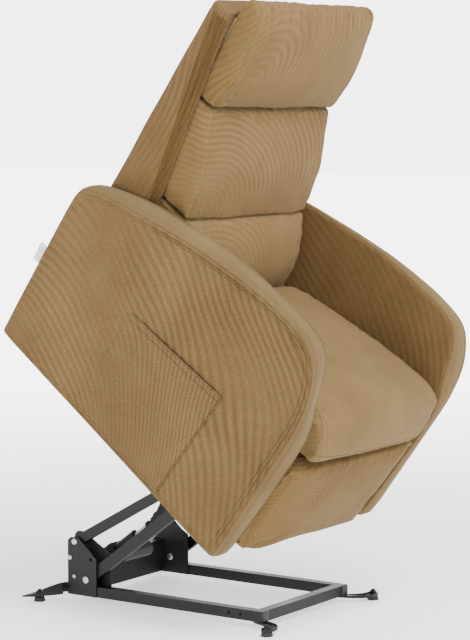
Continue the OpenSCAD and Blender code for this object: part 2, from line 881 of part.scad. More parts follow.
// Seat cushion outline: depth shares run back from its front, height shares up from the deck
seat_shares = [
    [0.075, 0], [0.02, 0.04], [0, 0.27], [0.012, 0.5], [0.05, 0.83], [0.104, 0.985], [0.24, 1],
    [0.435, 0.92], [0.7, 0.72], [0.93, 0.52], [0.985, 0.45], [1, 0.33], [0.995, 0.08], [0.97, 0], [0.5, 0]
];
seat_weight_shares = [0, 0.1, 0.5, 0.9, 1, 1, 1, 1, 1, 0.6, 0.3, 0, 0, 0, 0];
seat_arm_gap = 9;
seat_half_w = arm_in - seat_arm_gap;
seat_front = -19;
seat_rear = seat_front + seat_depth;
seat_side_r = 30;
soft_steps = 2;

function weight_loop(w, steps) = [
    for (i = [0 : len(w) - 1], k = [0 : steps - 1])
        w[i] + (w[(i + 1) % len(w)] - w[i]) * k / steps
];

module seat_cushion() {
    outline = smooth_loop(
        [for (s = seat_shares) [seat_front + s[0] * seat_depth, deck_z + s[1] * seat_t]], soft_steps);
    color(fabric_colour) place_chair()
        cushion(outline, weight_loop(seat_weight_shares, soft_steps), seat_half_w, seat_crown, seat_side_r,
            [seat_front - seat_crown, deck_z], [seat_rear, deck_z + 2 * seat_t],
            [front_beam_y, deck_z, tape_w, 0]);
}

tray_y = 440;
tray_len = 80;
box_x = -120;
box_size = [100, 60, 40];
box_lid = 3;
socket_w = 26;
socket_h = 18;
socket_depth = 12;
socket_r = 8;

module control_tray() {
    color(steel_colour) place_chair()
        translate([-(mech_out - mech_leg), tray_y, frame_bottom - plate_t])
            cube([2 * (mech_out - mech_leg), tray_len, plate_t]);
}

// Closed control box with two inlets in its rear face
module control_box() {
    top = frame_bottom - plate_t;
    color(plastic_colour) place_chair() translate([box_x, tray_y + socket_depth, top - box_size[2]]) difference() {
        union() {
            cube(box_size);
            translate([-box_lid, -box_lid, box_size[2] - box_lid])
                cube([box_size[0] + 2 * box_lid, box_size[1] + 2 * box_lid, box_lid]);
        }
        translate([box_size[0] / 4 - socket_w / 2, box_size[1] - socket_depth, box_size[2] / 2 - socket_h / 2])
            cube([socket_w, socket_depth + cut, socket_h]);
        translate([box_size[0] * 3 / 4, box_size[1] + cut, box_size[2] / 2])
            rotate([90, 0, 0]) cylinder(r = socket_r, h = socket_depth + cut, $fn = hole_fn);
    }
}

// Legrest linkage: fixed pivot, knee and panel pivot, on the chair with the panel folded
leg_fixed = [285, 185];
leg_knee = [252.5, 34.5];
leg_panel = [90.8, 238.3];
leg_link_h = 20;
leg_link_t = 4;
leg_pin_r = 5;
leg_shaft_r = 9;
leg_stub_r = 6;
leg_plate_t = 4;
leg_plate_x = side_rail_in - leg_plate_t;
leg_plate_r = 15;
link_gap = 2;
knee_gap = 4;
rear_link_x = leg_plate_x - link_gap - leg_link_t;
front_link_x = rear_link_x - knee_gap - leg_link_t;
panel_plate_x = front_link_x - knee_gap - plate_t;

module legrest_pivot_plates() {
    color(steel_colour) place_chair() both_sides() side_slab(leg_plate_x, leg_plate_t) difference() {
        union() {
            translate(leg_fixed) circle(r = leg_plate_r, $fn = round_fn);
            translate([leg_fixed[0] - leg_plate_r, leg_fixed[1]])
                square([2 * leg_plate_r, frame_top - leg_fixed[1]]);
        }
        hole_at(leg_fixed, leg_stub_r + run);
    }
}

module legrest_rear_links() {
    color(steel_colour) place_chair() both_sides() side_slab(rear_link_x, leg_link_t) difference() {
        link_outline(leg_fixed, leg_knee, leg_link_h);
        hole_at(leg_fixed, leg_stub_r);
        hole_at(leg_knee, leg_pin_r + run);
    }
}

// Cross shaft with its stub ends, and the lever that the legrest actuator pushes
lever_r = 50;
lever_angle = -47.8;
lever_x = 60;
lever_pin = leg_fixed + lever_r * unit(lever_angle);
lever_w = 18;

module legrest_cross_shaft() {
    color(steel_colour) place_chair() {
        cross_pin(leg_fixed, leg_shaft_r, -rear_link_x, rear_link_x);
        cross_pin(leg_fixed, leg_stub_r, -side_rail_in, side_rail_in);
        for (side = [-1, 1])
            side_slab(lever_x + side * (eye_w / 2 + ear_gap + ear_t / 2) - ear_t / 2, ear_t)
                link_outline(leg_fixed, lever_pin, lever_w);
        cross_pin(lever_pin, push_pin_r,
            lever_x - eye_w / 2 - ear_gap - ear_t, lever_x + eye_w / 2 + ear_gap + ear_t);
    }
}

module legrest_front_links() {
    color(steel_colour) place_chair() both_sides() {
        side_slab(front_link_x, leg_link_t) difference() {
            link_outline(leg_knee, leg_panel, leg_link_h);
            hole_at(leg_panel, leg_pin_r + run);
        }
        cross_pin(leg_knee, leg_pin_r, front_link_x, rear_link_x + leg_link_t + pin_head_h / 2);
        cross_pin(leg_knee, leg_pin_r + pin_head_over, front_link_x + leg_link_t, rear_link_x - bush_gap);
    }
}

// Legrest panel: padded board with two brackets behind it
legrest_z = 15;
legrest_y = -20;
legrest_side_r = 22;
legrest_crown = 10;
board_t = 12;
board_margin = 12;
board_y = legrest_y + legrest_t + seat_gap;
legrest_shares = [
    [0.3, 0], [0.06, 0.02], [0, 0.09], [0, 0.5], [0, 0.9], [0.08, 0.98], [0.3, 1], [0.9, 1], [1, 0.97],
    [1, 0.5], [1, 0.03], [0.9, 0]
];
legrest_weight_shares = [0, 0.2, 0.5, 1, 0.4, 0, 0, 0, 0, 0, 0, 0];

module legrest_pad() {
    outline = smooth_loop(
        [for (s = legrest_shares) [legrest_y + s[0] * legrest_t, legrest_z + s[1] * legrest_h]], soft_steps);
    color(fabric_colour) place_chair()
        cushion(outline, weight_loop(legrest_weight_shares, soft_steps), legrest_w / 2, legrest_crown,
            legrest_side_r, [legrest_y - 2 * legrest_crown, legrest_z],
            [legrest_y + legrest_t, legrest_z + legrest_h],
            [legrest_y + legrest_t, legrest_z + legrest_h / 2, 0, tape_w]);
}

module legrest_board() {
    color(wood_colour) place_chair()
        translate([-legrest_w / 2 + board_margin, board_y, legrest_z + board_margin])
            cube([legrest_w - 2 * board_margin, board_t, legrest_h - 2 * board_margin]);
}

panel_plate_w = 24;
panel_plate_low = 150;
panel_flange = 20;

module legrest_brackets() {
    rear = board_y + board_t;
    color(steel_colour) place_chair() both_sides() {
        side_slab(panel_plate_x, plate_t) difference() {
            union() {
                translate(leg_panel) circle(d = panel_plate_w, $fn = round_fn);
                polygon([
                    [rear, panel_plate_low],
                    [rear + panel_plate_w / 2, panel_plate_low],
                    [leg_panel[0] + panel_plate_w / 2, leg_panel[1]],
                    [leg_panel[0], leg_panel[1] + panel_plate_w / 2],
                    [rear, leg_panel[1] + panel_plate_w / 2]
                ]);
            }
            hole_at(leg_panel, leg_pin_r);
        }
        translate([panel_plate_x - panel_flange, rear, panel_plate_low])
            cube([panel_flange, plate_t, leg_panel[1] + panel_plate_w / 2 - panel_plate_low]);
        cross_pin(leg_panel, leg_pin_r, panel_plate_x - pin_head_h, front_link_x + leg_link_t + pin_head_h / 2);
        cross_pin(leg_panel, leg_pin_r + pin_head_over, panel_plate_x + plate_t, front_link_x - bush_gap);
    }
}

// Legrest actuator: fixed under the rear beam, its rod slides forward to turn the cross shaft
leg_act_z = lever_pin[1];
leg_act_travel = 67;
leg_tube_r = 15;
leg_rod_r = 7;
leg_tube_front = 400;
leg_tube_rear = 556;
leg_box_len = 42;
leg_box_h = 40;
leg_box_w = 36;
leg_motor_r = 19;
leg_motor_len = 100;
hanger_t = 4;
slot_drop = lever_r - lever_r * sin(-lever_angle);

module legrest_actuator() {
    color(plastic_colour) place_chair() {
        difference() {
            translate([lever_x, leg_tube_front, leg_act_z]) rotate([-90, 0, 0])
                cylinder(r = leg_tube_r, h = leg_tube_rear - leg_tube_front, $fn = round_fn);
            translate([lever_x, leg_tube_front - cut, leg_act_z]) rotate([-90, 0, 0])
                cylinder(r = leg_rod_r + run, h = leg_tube_rear - leg_tube_front, $fn = round_fn);
        }
        translate([lever_x - leg_box_w / 2, leg_tube_rear, leg_act_z - leg_box_h / 2])
            cube([leg_box_w, leg_box_len, leg_box_h]);
        cross_pin([leg_tube_rear + leg_box_len / 2, leg_act_z], leg_motor_r,
            lever_x - leg_box_w / 2 - leg_motor_len, lever_x - leg_box_w / 2);
        translate([lever_x - hanger_t / 2, rear_beam_y, leg_act_z + leg_box_h / 2])
            cube([hanger_t, leg_tube_rear + leg_box_len - rear_beam_y, frame_bottom - leg_act_z - leg_box_h / 2]);
    }
}

module legrest_actuator_rod() {
    eye_front = lever_pin[0] - eye_r;
    rod_rear = leg_tube_front + leg_act_travel + 2 * leg_tube_r;
    color(zinc_colour) place_chair() {
        translate([lever_x, lever_pin[0] + eye_r, leg_act_z]) rotate([-90, 0, 0])
            cylinder(r = leg_rod_r, h = rod_rear - lever_pin[0] - eye_r, $fn = round_fn);
        side_slab(lever_x - eye_w / 2, eye_w) difference() {
            translate([eye_front, leg_act_z - slot_drop - eye_r])
                square([2 * eye_r, slot_drop + 2 * eye_r]);
            translate([lever_pin[0] - push_pin_r - eye_clear, leg_act_z - slot_drop])
                square([2 * (push_pin_r + eye_clear), slot_drop]);
            hole_at([lever_pin[0], leg_act_z], push_pin_r + eye_clear);
            hole_at([lever_pin[0], leg_act_z - slot_drop], push_pin_r + eye_clear);
        }
    }
}

// Back: its pivot, and the sloping plane that the cushions lie against
recline_pivot = [720, 295];
recline_pin_r = 6;
recline_plate_r = 17;
recline_plate_len = 80;
back_lean = 4;
back_plane_y = 722;
back_plane_z = 300;
upright_t = 24;
upright_w = 22;
upright_out = 247;
upright_low = 284;
hinge_plate_t = 3;
hinge_plate_h = 120;

function back_y(z) = back_plane_y + (z - back_plane_z) * tan(back_lean);

module recline_pivot_plates() {
    color(steel_colour) place_chair() both_sides() side_slab(leg_plate_x, leg_plate_t) difference() {
        union() {
            translate(recline_pivot) circle(r = recline_plate_r, $fn = round_fn);
            translate([recline_pivot[0] - recline_plate_len, frame_bottom])
                square([recline_plate_len - recline_plate_r, frame_h]);
            translate([recline_pivot[0] - 2 * recline_plate_r, recline_pivot[1] - recline_plate_r])
                square([2 * recline_plate_r, 2 * recline_plate_r]);
        }
        hole_at(recline_pivot, recline_pin_r + run);
    }
}

slat_h = 60;
slat_shares = [0.2, 0.52, 0.9];
upright_drop = 70;
upright_high = back_top_z - upright_drop;

module back_frame() {
    color(wood_colour) place_chair() {
        both_sides() side_slab(upright_out - upright_w, upright_w) polygon([
            [back_y(upright_low) + seat_gap, upright_low],
            [back_y(upright_low) + upright_t, upright_low],
            [back_y(upright_high) + upright_t, upright_high],
            [back_y(upright_high) + seat_gap, upright_high]
        ]);
        for (s = slat_shares)
            let (z = upright_low + s * (upright_high - upright_low))
            side_slab(-(upright_out - upright_w), 2 * (upright_out - upright_w)) polygon([
                [back_y(z - slat_h / 2) + seat_gap, z - slat_h / 2],
                [back_y(z - slat_h / 2) + upright_t, z - slat_h / 2],
                [back_y(z + slat_h / 2) + upright_t, z + slat_h / 2],
                [back_y(z + slat_h / 2) + seat_gap, z + slat_h / 2]
            ]);
    }
}

module back_hinge_plates() {
    color(steel_colour) place_chair() both_sides() {
        side_slab(upright_out, hinge_plate_t) difference() {
            union() {
                translate(recline_pivot) circle(r = recline_plate_r, $fn = round_fn);
                polygon([
                    [recline_pivot[0], recline_pivot[1] - recline_plate_r],
                    [back_y(upright_low) + upright_t, upright_low],
                    [back_y(upright_low + hinge_plate_h) + upright_t, upright_low + hinge_plate_h],
                    [back_y(upright_low + hinge_plate_h) + seat_gap, upright_low + hinge_plate_h],
                    [back_y(lower_z) + seat_gap, lower_z],
                    [recline_pivot[0] - recline_plate_r, recline_pivot[1]]
                ]);
            }
            hole_at(recline_pivot, recline_pin_r);
        }
        cross_pin(recline_pivot, recline_pin_r, upright_out, side_rail_in + bush_gap + pin_head_h);
        cross_pin(recline_pivot, recline_pin_r + pin_head_over,
            side_rail_in + bush_gap, side_rail_in + bush_gap + pin_head_h);
    }
}

// Back shell: padded sides, rear and top round the cushions, open at the front and below
shell_t = 14;
shell_low = 302;
shell_rear_low = 796;
shell_rear_high = 838;
shell_high = upright_high;
shell_depth_share = 1.65;
shell_front_shares = [[-0.97, 0], [-0.75, 0.3], [-0.43, 0.85], [-0.33, 1.03]];

function shell_rear(z) =
    shell_rear_low + (shell_rear_high - shell_rear_low) * (z - shell_low) / (shell_high - shell_low);

module shell_outline(inset) {
    depth = shell_rear_high - back_plane_y;
    front = [for (s = shell_front_shares)
        let (z = shell_low + s[1] * (shell_high - shell_low))
        [shell_rear(z) + s[0] * shell_depth_share * depth, z]];
    polygon(inset == 0
        ? concat(front, [
            [shell_rear(shell_high) - shell_t, shell_high + shell_t],
            [shell_rear(shell_high), shell_high],
            [shell_rear(shell_low), shell_low]
        ])
        : [
            [0, shell_low - cut],
            [0, shell_high],
            [shell_rear(shell_high) - 2 * shell_t, shell_high],
            [shell_rear(shell_high) - shell_t, shell_high - shell_t],
            [shell_rear(shell_low) - shell_t, shell_low - cut]
        ]);
}

module back_shell() {
    color(fabric_colour) place_chair() difference() {
        side_slab(-back_w / 2, back_w) shell_outline(0);
        side_slab(-(back_w / 2 - shell_t), back_w - 2 * shell_t) shell_outline(shell_t);
    }
}

// Back cushions: each outline runs up its front from its lower edge, then down the sloping back plane
cushion_gap = 3;
cushion_half_w = back_w / 2 - shell_t - cushion_gap;
cushion_side_r = 20;
lower_z = 322;
lower_top = 514;
middle_z = 518;
middle_top = 763;
head_z = 768;
head_back_drop = 2;
head_back_z = shell_high - head_back_drop;
lower_depth_shares = [[0.96, 0], [1, 0.11], [0.975, 0.43], [0.855, 0.755], [0.74, 0.955], [0.66, 1]];
middle_depth_shares = [[0.66, 0], [0.71, 0.05], [0.605, 0.46], [0.41, 0.82], [0.34, 0.96], [0.27, 1]];
head_depth_shares = [[0.27, 0], [0.325, 0.05], [0.345, 0.145], [0.36, 0.41], [0.31, 0.71], [0.24, 0.93]];
lower_front_y = 516;
reach = back_plane_y - lower_front_y;
back_rear_shares = [1, 0.97, 0.5, 0.03, 0];
head_top_shares = [0.16, 0.07];
head_rear_shares = [0.93, 0.75, 0.03];

module back_cushion(z0, z1, shares, weights) {
    h = z1 - z0;
    front = [for (s = shares) let (z = z0 + s[1] * h) [back_y(z) - s[0] * reach, z]];
    rear = [for (s = back_rear_shares)
        let (z = z0 + s * h)
        [back_y(z) - (s == 1 || s == 0 ? cushion_side_r / 2 : 0), z]];
    outline = [for (p = smooth_loop(concat(front, rear), soft_steps)) [min(p[0], back_y(p[1])), p[1]]];
    cushion(outline, weight_loop(concat(weights, [for (p = rear) 0]), soft_steps),
        cushion_half_w, back_crown, cushion_side_r,
        [seat_rear + soft_gap, z0], [back_y(z1), z1],
        [back_y(z0 + h / 2), z0 + h / 2, 0, tape_w]);
}

module lower_cushion() {
    color(fabric_colour) place_chair()
        back_cushion(lower_z, lower_top, lower_depth_shares, [0, 0, 0.7, 1, 0.3, 0]);
}

module middle_cushion() {
    color(fabric_colour) place_chair()
        back_cushion(middle_z, middle_top, middle_depth_shares, [0, 0.3, 1, 1, 0.3, 0]);
}

// The head cushion stands above the shell, with a rounded top
module head_cushion() {
    h = back_top_z - head_z;
    front = [for (s = head_depth_shares) let (z = head_z + s[1] * h) [back_y(z) - s[0] * reach, z]];
    top_y = back_y(back_top_z);
    points = concat(front, [
        [top_y - head_top_shares[0] * reach, back_top_z],
        [top_y - head_top_shares[1] * reach, back_top_z],
        [back_y(head_back_z), head_z + head_rear_shares[0] * h],
        [back_y(head_back_z), head_z + head_rear_shares[1] * h],
        [back_y(head_z), head_z + head_rear_shares[2] * h],
        [back_y(head_z) - cushion_side_r / 2, head_z]
    ]);
    weights = [0, 0.3, 0.8, 1, 0.8, 0.4, 0, 0, 0, 0, 0, 0];
    color(fabric_colour) place_chair()
        cushion([for (p = smooth_loop(points, soft_steps)) [min(p[0], back_y(p[1])), p[1]]],
            weight_loop(weights, soft_steps), cushion_half_w, back_crown, cushion_side_r,
            [seat_rear + soft_gap, head_z], [back_y(back_top_z), back_top_z],
            [back_y(head_z + h / 2), head_z + h / 2, 0, tape_w]);
}

side_rails();
front_cross_bar();
rear_cross_bar();
tower_outer_plates();
tower_inner_plates();
tower_pivot_pins();
tower_rivets();
rear_cross_channel();
actuator_clevis();
front_foot_straps();
rear_foot_legs();
levelling_studs();
foot_pads();
lower_lift_arms();
lower_cross_tube();
upper_lift_arms();
upper_cross_tube();
actuator_ears();
upper_front_pins();
lift_gearbox();
lift_motor();
lift_outer_tube();
lift_rod();
lift_rod_fork();
arm_panel_left();
arm_panel_right();
side_pocket();
rear_skirt();
seat_side_rails();
seat_cross_beams();
mechanism_rails();
lift_brackets();
lower_front_pins();
seat_springs();
seat_cushion();
control_tray();
control_box();
legrest_pivot_plates();
recline_pivot_plates();
legrest_actuator();
back_shell();
back_frame();
back_hinge_plates();
head_cushion();
middle_cushion();
lower_cushion();
legrest_actuator_rod();
legrest_rear_links();
legrest_cross_shaft();
legrest_front_links();
legrest_pad();
legrest_board();
legrest_brackets();
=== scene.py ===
import math
import bmesh
import bpy
import numpy as np
from mathutils import Matrix, Vector, noise
from mathutils.bvhtree import BVHTree


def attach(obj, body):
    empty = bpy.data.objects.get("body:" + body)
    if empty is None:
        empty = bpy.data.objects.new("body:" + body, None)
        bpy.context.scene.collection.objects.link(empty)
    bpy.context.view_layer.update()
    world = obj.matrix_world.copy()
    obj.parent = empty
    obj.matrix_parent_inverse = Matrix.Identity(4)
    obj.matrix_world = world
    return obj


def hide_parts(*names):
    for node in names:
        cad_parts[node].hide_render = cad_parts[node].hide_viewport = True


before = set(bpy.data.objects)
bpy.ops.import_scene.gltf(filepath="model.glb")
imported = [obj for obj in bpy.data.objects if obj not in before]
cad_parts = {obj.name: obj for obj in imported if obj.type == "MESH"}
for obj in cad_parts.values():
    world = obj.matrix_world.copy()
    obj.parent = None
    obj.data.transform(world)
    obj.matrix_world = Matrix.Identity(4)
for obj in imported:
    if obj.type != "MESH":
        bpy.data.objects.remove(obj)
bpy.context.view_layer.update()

# The studio: a camera at standing height off the chair's right front corner, a pale floor
# that runs out of sight, and large soft lights above and to both sides.
lens_view = bpy.data.cameras.new("lens_view")
lens_view.lens = 128.25
lens_view.sensor_width = 36.0
camera_stand = bpy.data.objects.new("camera_stand", lens_view)
camera_stand.location = (-4.581, -3.1345, 1.232)
camera_stand.rotation_euler = (math.radians(84.59), 0.0, math.radians(-55.625))
bpy.context.scene.collection.objects.link(camera_stand)
bpy.context.scene.camera = camera_stand


def new_finish(name, roughness, metallic=0.0):
    finish = bpy.data.materials.new(name)
    finish.use_nodes = True
    tree = finish.node_tree
    surface = tree.nodes["Principled BSDF"]
    surface.inputs["Roughness"].default_value = roughness
    surface.inputs["Metallic"].default_value = metallic
    return finish, tree, surface


def node(tree, kind, inputs=None, **settings):
    made = tree.nodes.new("ShaderNode" + kind)
    for key, value in settings.items():
        setattr(made, key, value)
    for key, value in (inputs or {}).items():
        if isinstance(value, bpy.types.NodeSocket):
            tree.links.new(value, made.inputs[key])
        else:
            made.inputs[key].default_value = value
    return made


def add_piece(name, mesh):
    piece = bpy.data.objects.new(name, mesh)
    bpy.context.scene.collection.objects.link(piece)
    return piece


def mesh_of(name, points, faces):
    mesh = bpy.data.meshes.new(name)
    mesh.from_pydata([tuple(p) for p in points], [], [tuple(f) for f in faces])
    mesh.update()
    return mesh


def two_tone(tree, surface, share, dark, light, low=0.0, high=1.0):
    """Colours a finish from dark to light as share runs from low to high."""
    ramp = node(tree, "ValToRGB", {"Fac": share})
    for stop, spot, tone in zip(ramp.color_ramp.elements, (low, high), (dark, light)):
        stop.position = spot
        stop.color = (*tone, 1)
    tree.links.new(ramp.outputs["Color"], surface.inputs["Base Color"])


def eased(tree, value, start, end, first=0.0, last=1.0):
    """A value that goes softly from first to last between start and end."""
    way = {"Value": value, "From Min": start, "From Max": end, "To Min": first, "To Max": last}
    return node(tree, "MapRange", way, interpolation_type="SMOOTHSTEP").outputs["Result"]


floor_finish, tree, surface = new_finish("studio_floor", 0.7)
scuffs = node(tree, "TexNoise", {"Scale": 3.0, "Detail": 2.0}).outputs["Fac"]
two_tone(tree, surface, scuffs, (0.95, 0.95, 0.95), (0.98, 0.98, 0.98))
# Painted light: the floor glows white, faintly near the chair and more strongly the farther it lies from it,
# so it lights the chair from below and shows bright behind it.
before_chair = (-1.65, -1.13, 0)
spot = node(tree, "TexCoord").outputs["Object"]
away = node(tree, "VectorMath", {0: spot, 1: before_chair}, operation="DISTANCE")
floor_glow = eased(tree, away.outputs["Value"], 2.6, 7.0, 0.9, 4.6)
surface.inputs["Emission Color"].default_value = (1.0, 1.0, 1.0, 1)
tree.links.new(floor_glow, surface.inputs["Emission Strength"])
floor_half, under_pads = 30, -0.0004
floor = add_piece("studio_floor", mesh_of(
    "studio_floor",
    [(x * floor_half, y * floor_half, under_pads) for x, y in ((-1, -1), (1, -1), (1, 1), (-1, 1))],
    [(0, 1, 2, 3)]))
floor.data.materials.append(floor_finish)

studio_air = bpy.data.worlds.new("studio_air")
studio_air.use_nodes = True
air = studio_air.node_tree
air.nodes["Background"].inputs["Color"].default_value = (1.0, 1.0, 1.0, 1)
behind_chair = (0.825, 0.565, 0)
seen_way = node(air, "TexCoord").outputs["Generated"]
toward_wall = node(air, "VectorMath", {0: seen_way, 1: behind_chair}, operation="DOT_PRODUCT")
wall_light = eased(air, toward_wall.outputs["Value"], 0.80, 0.97, 0.88, 5.0)
low_light = eased(air, node(air, "SeparateXYZ", {"Vector": seen_way}).outputs["Z"], 0.05, 0.28, 1.4, 0.5)
room_light = node(air, "Math", {0: wall_light, 1: low_light}, operation="MAXIMUM")
air.links.new(room_light.outputs["Value"], air.nodes["Background"].inputs["Strength"])
bpy.context.scene.world = studio_air
for name, place, aim, size, watts in (
        ("softbox_above", (-0.6, -2.2, 4.0), (0, 0, 0.6), 2.2, 260),
        ("softbox_left", (-4.2, 0.6, 1.3), (0, 0, 0.6), 1.8, 52),
        ("softbox_front", (-0.4, -4.2, 1.6), (0, 0, 0.7), 1.8, 10)):
    lamp = bpy.data.lights.new(name, "AREA")
    lamp.size = size
    lamp.energy = watts
    stand = bpy.data.objects.new(name, lamp)
    stand.location = place
    stand.rotation_euler = (Vector(place) - Vector(aim)).to_track_quat("Z", "Y").to_euler()
    bpy.context.scene.collection.objects.link(stand)

# The base frame: square steel rails and cross bars with riveted tower plates, welded up and then
# powder coated dark grey all over. The lift arms, brackets and ears have the same coat.
powder_coat, tree, surface = new_finish("powder_coat", 0.5)
surface.inputs["Specular IOR Level"].default_value = 0.28


def speckle(tree, scale, detail=2.0, **more):
    """Fine noise that keeps its size on every piece."""
    place = node(tree, "TexCoord").outputs["Object"]
    return node(tree, "TexNoise", {"Vector": place, "Scale": scale, "Detail": detail, **more}).outputs["Fac"]


def raised(tree, surface, height, strength, deep):
    bump = node(tree, "Bump", {"Strength": strength, "Distance": deep, "Height": height})
    tree.links.new(bump.outputs["Normal"], surface.inputs["Normal"])


dust = speckle(tree, 9.0, 6.0)
two_tone(tree, surface, dust, (0.0060, 0.0056, 0.0053), (0.0135, 0.0128, 0.0120), 0.3, 0.75)
coat_rough = node(tree, "MapRange", {"Value": dust, "To Min": 0.38, "To Max": 0.6})
tree.links.new(coat_rough.outputs["Result"], surface.inputs["Roughness"])
raised(tree, surface, speckle(tree, 420.0, 3.0), 0.25, 0.0004)


def coat_nodes(finish, names):
    for name in names:
        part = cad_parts[name]
        part.data.materials.clear()
        part.data.materials.append(finish)


coat_nodes(powder_coat, [
    "side_rails", "front_cross_bar", "rear_cross_bar", "tower_outer_plates", "tower_inner_plates",
    "rear_cross_channel", "actuator_clevis", "front_foot_straps", "rear_foot_legs",
    "lower_lift_arms", "lower_cross_tube", "upper_lift_arms", "upper_cross_tube", "actuator_ears",
    "lift_outer_tube", "lift_rod_fork", "mechanism_rails", "lift_brackets", "control_tray",
    "legrest_pivot_plates", "recline_pivot_plates", "back_hinge_plates", "legrest_rear_links",
    "legrest_cross_shaft", "legrest_front_links", "legrest_brackets"])

# Pins, rivets, studs and springs: bright zinc-plated steel, turned or drawn, with a faint blue cast
# and a brushed grain.
zinc_plate, tree, surface = new_finish("zinc_plate", 0.32, 0.9)
brushing = speckle(tree, 160.0, 4.0)
two_tone(tree, surface, brushing, (0.42, 0.43, 0.45), (0.68, 0.69, 0.70))
raised(tree, surface, brushing, 0.15, 0.0003)
coat_nodes(zinc_plate, ["upper_front_pins", "lift_rod", "lower_front_pins", "seat_springs",
                        "legrest_actuator_rod"])


def tube_faces(rows, n, ends="flat"):
    """Faces of a tube of rows with n points each; its ends are flat, open or joined."""
    faces = []
    for j in range(rows if ends == "joined" else rows - 1):
        for i in range(n):
            k, ahead = (i + 1) % n, (j + 1) % rows
            faces.append((j * n + i, j * n + k, ahead * n + k, ahead * n + i))
    if ends == "flat":
        faces += [tuple(range(n - 1, -1, -1)), tuple((rows - 1) * n + i for i in range(n))]
    return faces


def joined(parts):
    """The points and faces of several forms as those of one."""
    points, faces = [], []
    for own, own_faces in parts:
        start = len(points)
        points += list(own)
        faces += [tuple(start + i for i in f) for f in own_faces]
    return points, faces


def turned_form(profile, spots, sides=32):
    """Points and faces of like lathed parts: profile is (distance along, radius) pairs, and spots
    gives each part's start and the way it points."""
    parts = []
    for start, way in spots:
        turn = Vector((1, 0, 0)).rotation_difference(Vector(way)).to_matrix()
        points = []
        for along, radius in profile:
            for k in range(sides):
                a = 2 * math.pi * k / sides
                way_out = Vector((along, radius * math.cos(a), radius * math.sin(a)))
                points.append(Vector(start) + turn @ way_out)
        parts.append((points, tube_faces(len(profile), sides)))
    return joined(parts)


def turned(name, profile, spots, sides=32):
    mesh = mesh_of(name, *turned_form(profile, spots, sides))
    for face in mesh.polygons:
        face.use_smooth = len(face.vertices) == 4
    return add_piece(name, mesh)


def fitted(piece, finish, body, hides=()):
    """Gives a piece its finish, fixes it to its body and lets it stand for the CAD nodes it hides."""
    piece.data.materials.clear()
    piece.data.materials.append(finish)
    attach(piece, body)
    if hides:
        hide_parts(*hides)


base_shift = -0.2085
tower_face, tower_gap = 0.1938, 0.0320
for name, pins in (("tower_pivot_pins", [(0.524, 0.057, 0.009, 0.0070), (0.5593, 0.1497, 0.008, 0.0060)]),
                   ("tower_rivets", [(0.5735, 0.1087, 0.0065, 0.0045), (0.560, 0.062, 0.005, 0.0030)])):
    parts = []
    for y, z, head, shank in pins:
        inner_head = [(-0.0025, 0.0), (-0.0025, head * 0.55), (-0.0019, head * 0.8), (-0.0008, head),
                      (0.0, head)]
        outer_head = [(0.0, head), (0.0008, head), (0.0019, head * 0.8), (0.0025, head * 0.45), (0.0026, 0.0)]
        run = [(x - tower_gap, radius) for x, radius in inner_head + [(0.0, shank)]]
        run += [(0.0, shank)] + outer_head
        spots = [((side * tower_face, y + base_shift, z), (side, 0, 0)) for side in (-1, 1)]
        parts.append(turned_form(run, spots))
    mesh = mesh_of("turned_" + name, *joined(parts))
    for face in mesh.polygons:
        face.use_smooth = True
    fitted(add_piece("turned_" + name, mesh), zinc_plate, "base", [name])

# Levelling feet: a threaded stud with a hex nut on the strap or leg, and a moulded rubber pad
# with a rounded rim that stands on the floor.
foot_places = [(s * x, y + base_shift) for s in (-1, 1) for x, y in ((0.2395, -0.046), (0.243, 0.631))]
stud_high, root, crest, thread_pitch = 0.0122, 0.0034, 0.0040, 0.00125
thread = [(0.0, root)]
for k in range(9):
    thread += [(0.0006 + k * thread_pitch, root), (0.0012 + k * thread_pitch, crest)]
thread += [(stud_high, 0.0030), (stud_high, 0.0)]
up = (0, 0, 1)
studs = turned("levelling_stud_threads", thread, [((x, y, 0.009), up) for x, y in foot_places], 20)
nut = [(0.0, 0.0), (0.0, 0.0080), (0.0008, 0.0090), (0.0066, 0.0090), (0.0074, 0.0080), (0.0074, 0.0058),
       (0.0100, 0.0050), (0.0114, 0.0032), (0.0118, 0.0)]
strap_top, leg_top = 0.016, 0.019
nut_spots = [((x, y, strap_top if y < 0 else leg_top), up) for x, y in foot_places]
nuts = turned("levelling_nuts", nut, nut_spots, 6)
for face in nuts.data.polygons:
    face.use_smooth = False
for piece in (studs, nuts):
    fitted(piece, powder_coat, "base", ["levelling_studs"])

rubber, tree, surface = new_finish("pad_rubber", 0.75)
pores = speckle(tree, 700.0)
two_tone(tree, surface, pores, (0.010, 0.010, 0.010), (0.024, 0.023, 0.022))
raised(tree, surface, pores, 0.3, 0.0003)
pad = [(0.0, 0.0), (0.0, 0.0130), (0.0005, 0.0140), (0.0016, 0.0146), (0.0030, 0.0142), (0.0036, 0.0134),
       (0.0042, 0.0136), (0.0094, 0.0128), (0.0106, 0.0118), (0.0109, 0.0100), (0.0109, 0.0)]
pads = turned("rubber_pads", pad, [((x, y, 0.0), up) for x, y in foot_places], 40)
fitted(pads, rubber, "base", ["foot_pads"])

# Front foot straps and rear foot legs: the straps are flat bar bent round the stud with a rolled
# edge, the legs stamped channel that runs down from the towers and ends in a point past the pad.


def closed_piece(name, *parts):
    """One piece of several forms, each given by its points and faces, with every face turned out."""
    mesh = mesh_of(name, *joined(parts))
    work = bmesh.new()
    work.from_mesh(mesh)
    bmesh.ops.recalc_face_normals(work, faces=work.faces)
    work.to_mesh(mesh)
    work.free()
    mesh.update()
    return add_piece(name, mesh)


def lofted(rings):
    """Points and faces of a form drawn through equal rings of points."""
    return [p for ring in rings for p in ring], tube_faces(len(rings), len(rings[0]))


def right_and_left(points, faces):
    return ([(-x, y, z) for x, y, z in points], [f[::-1] for f in faces]), (points, faces)


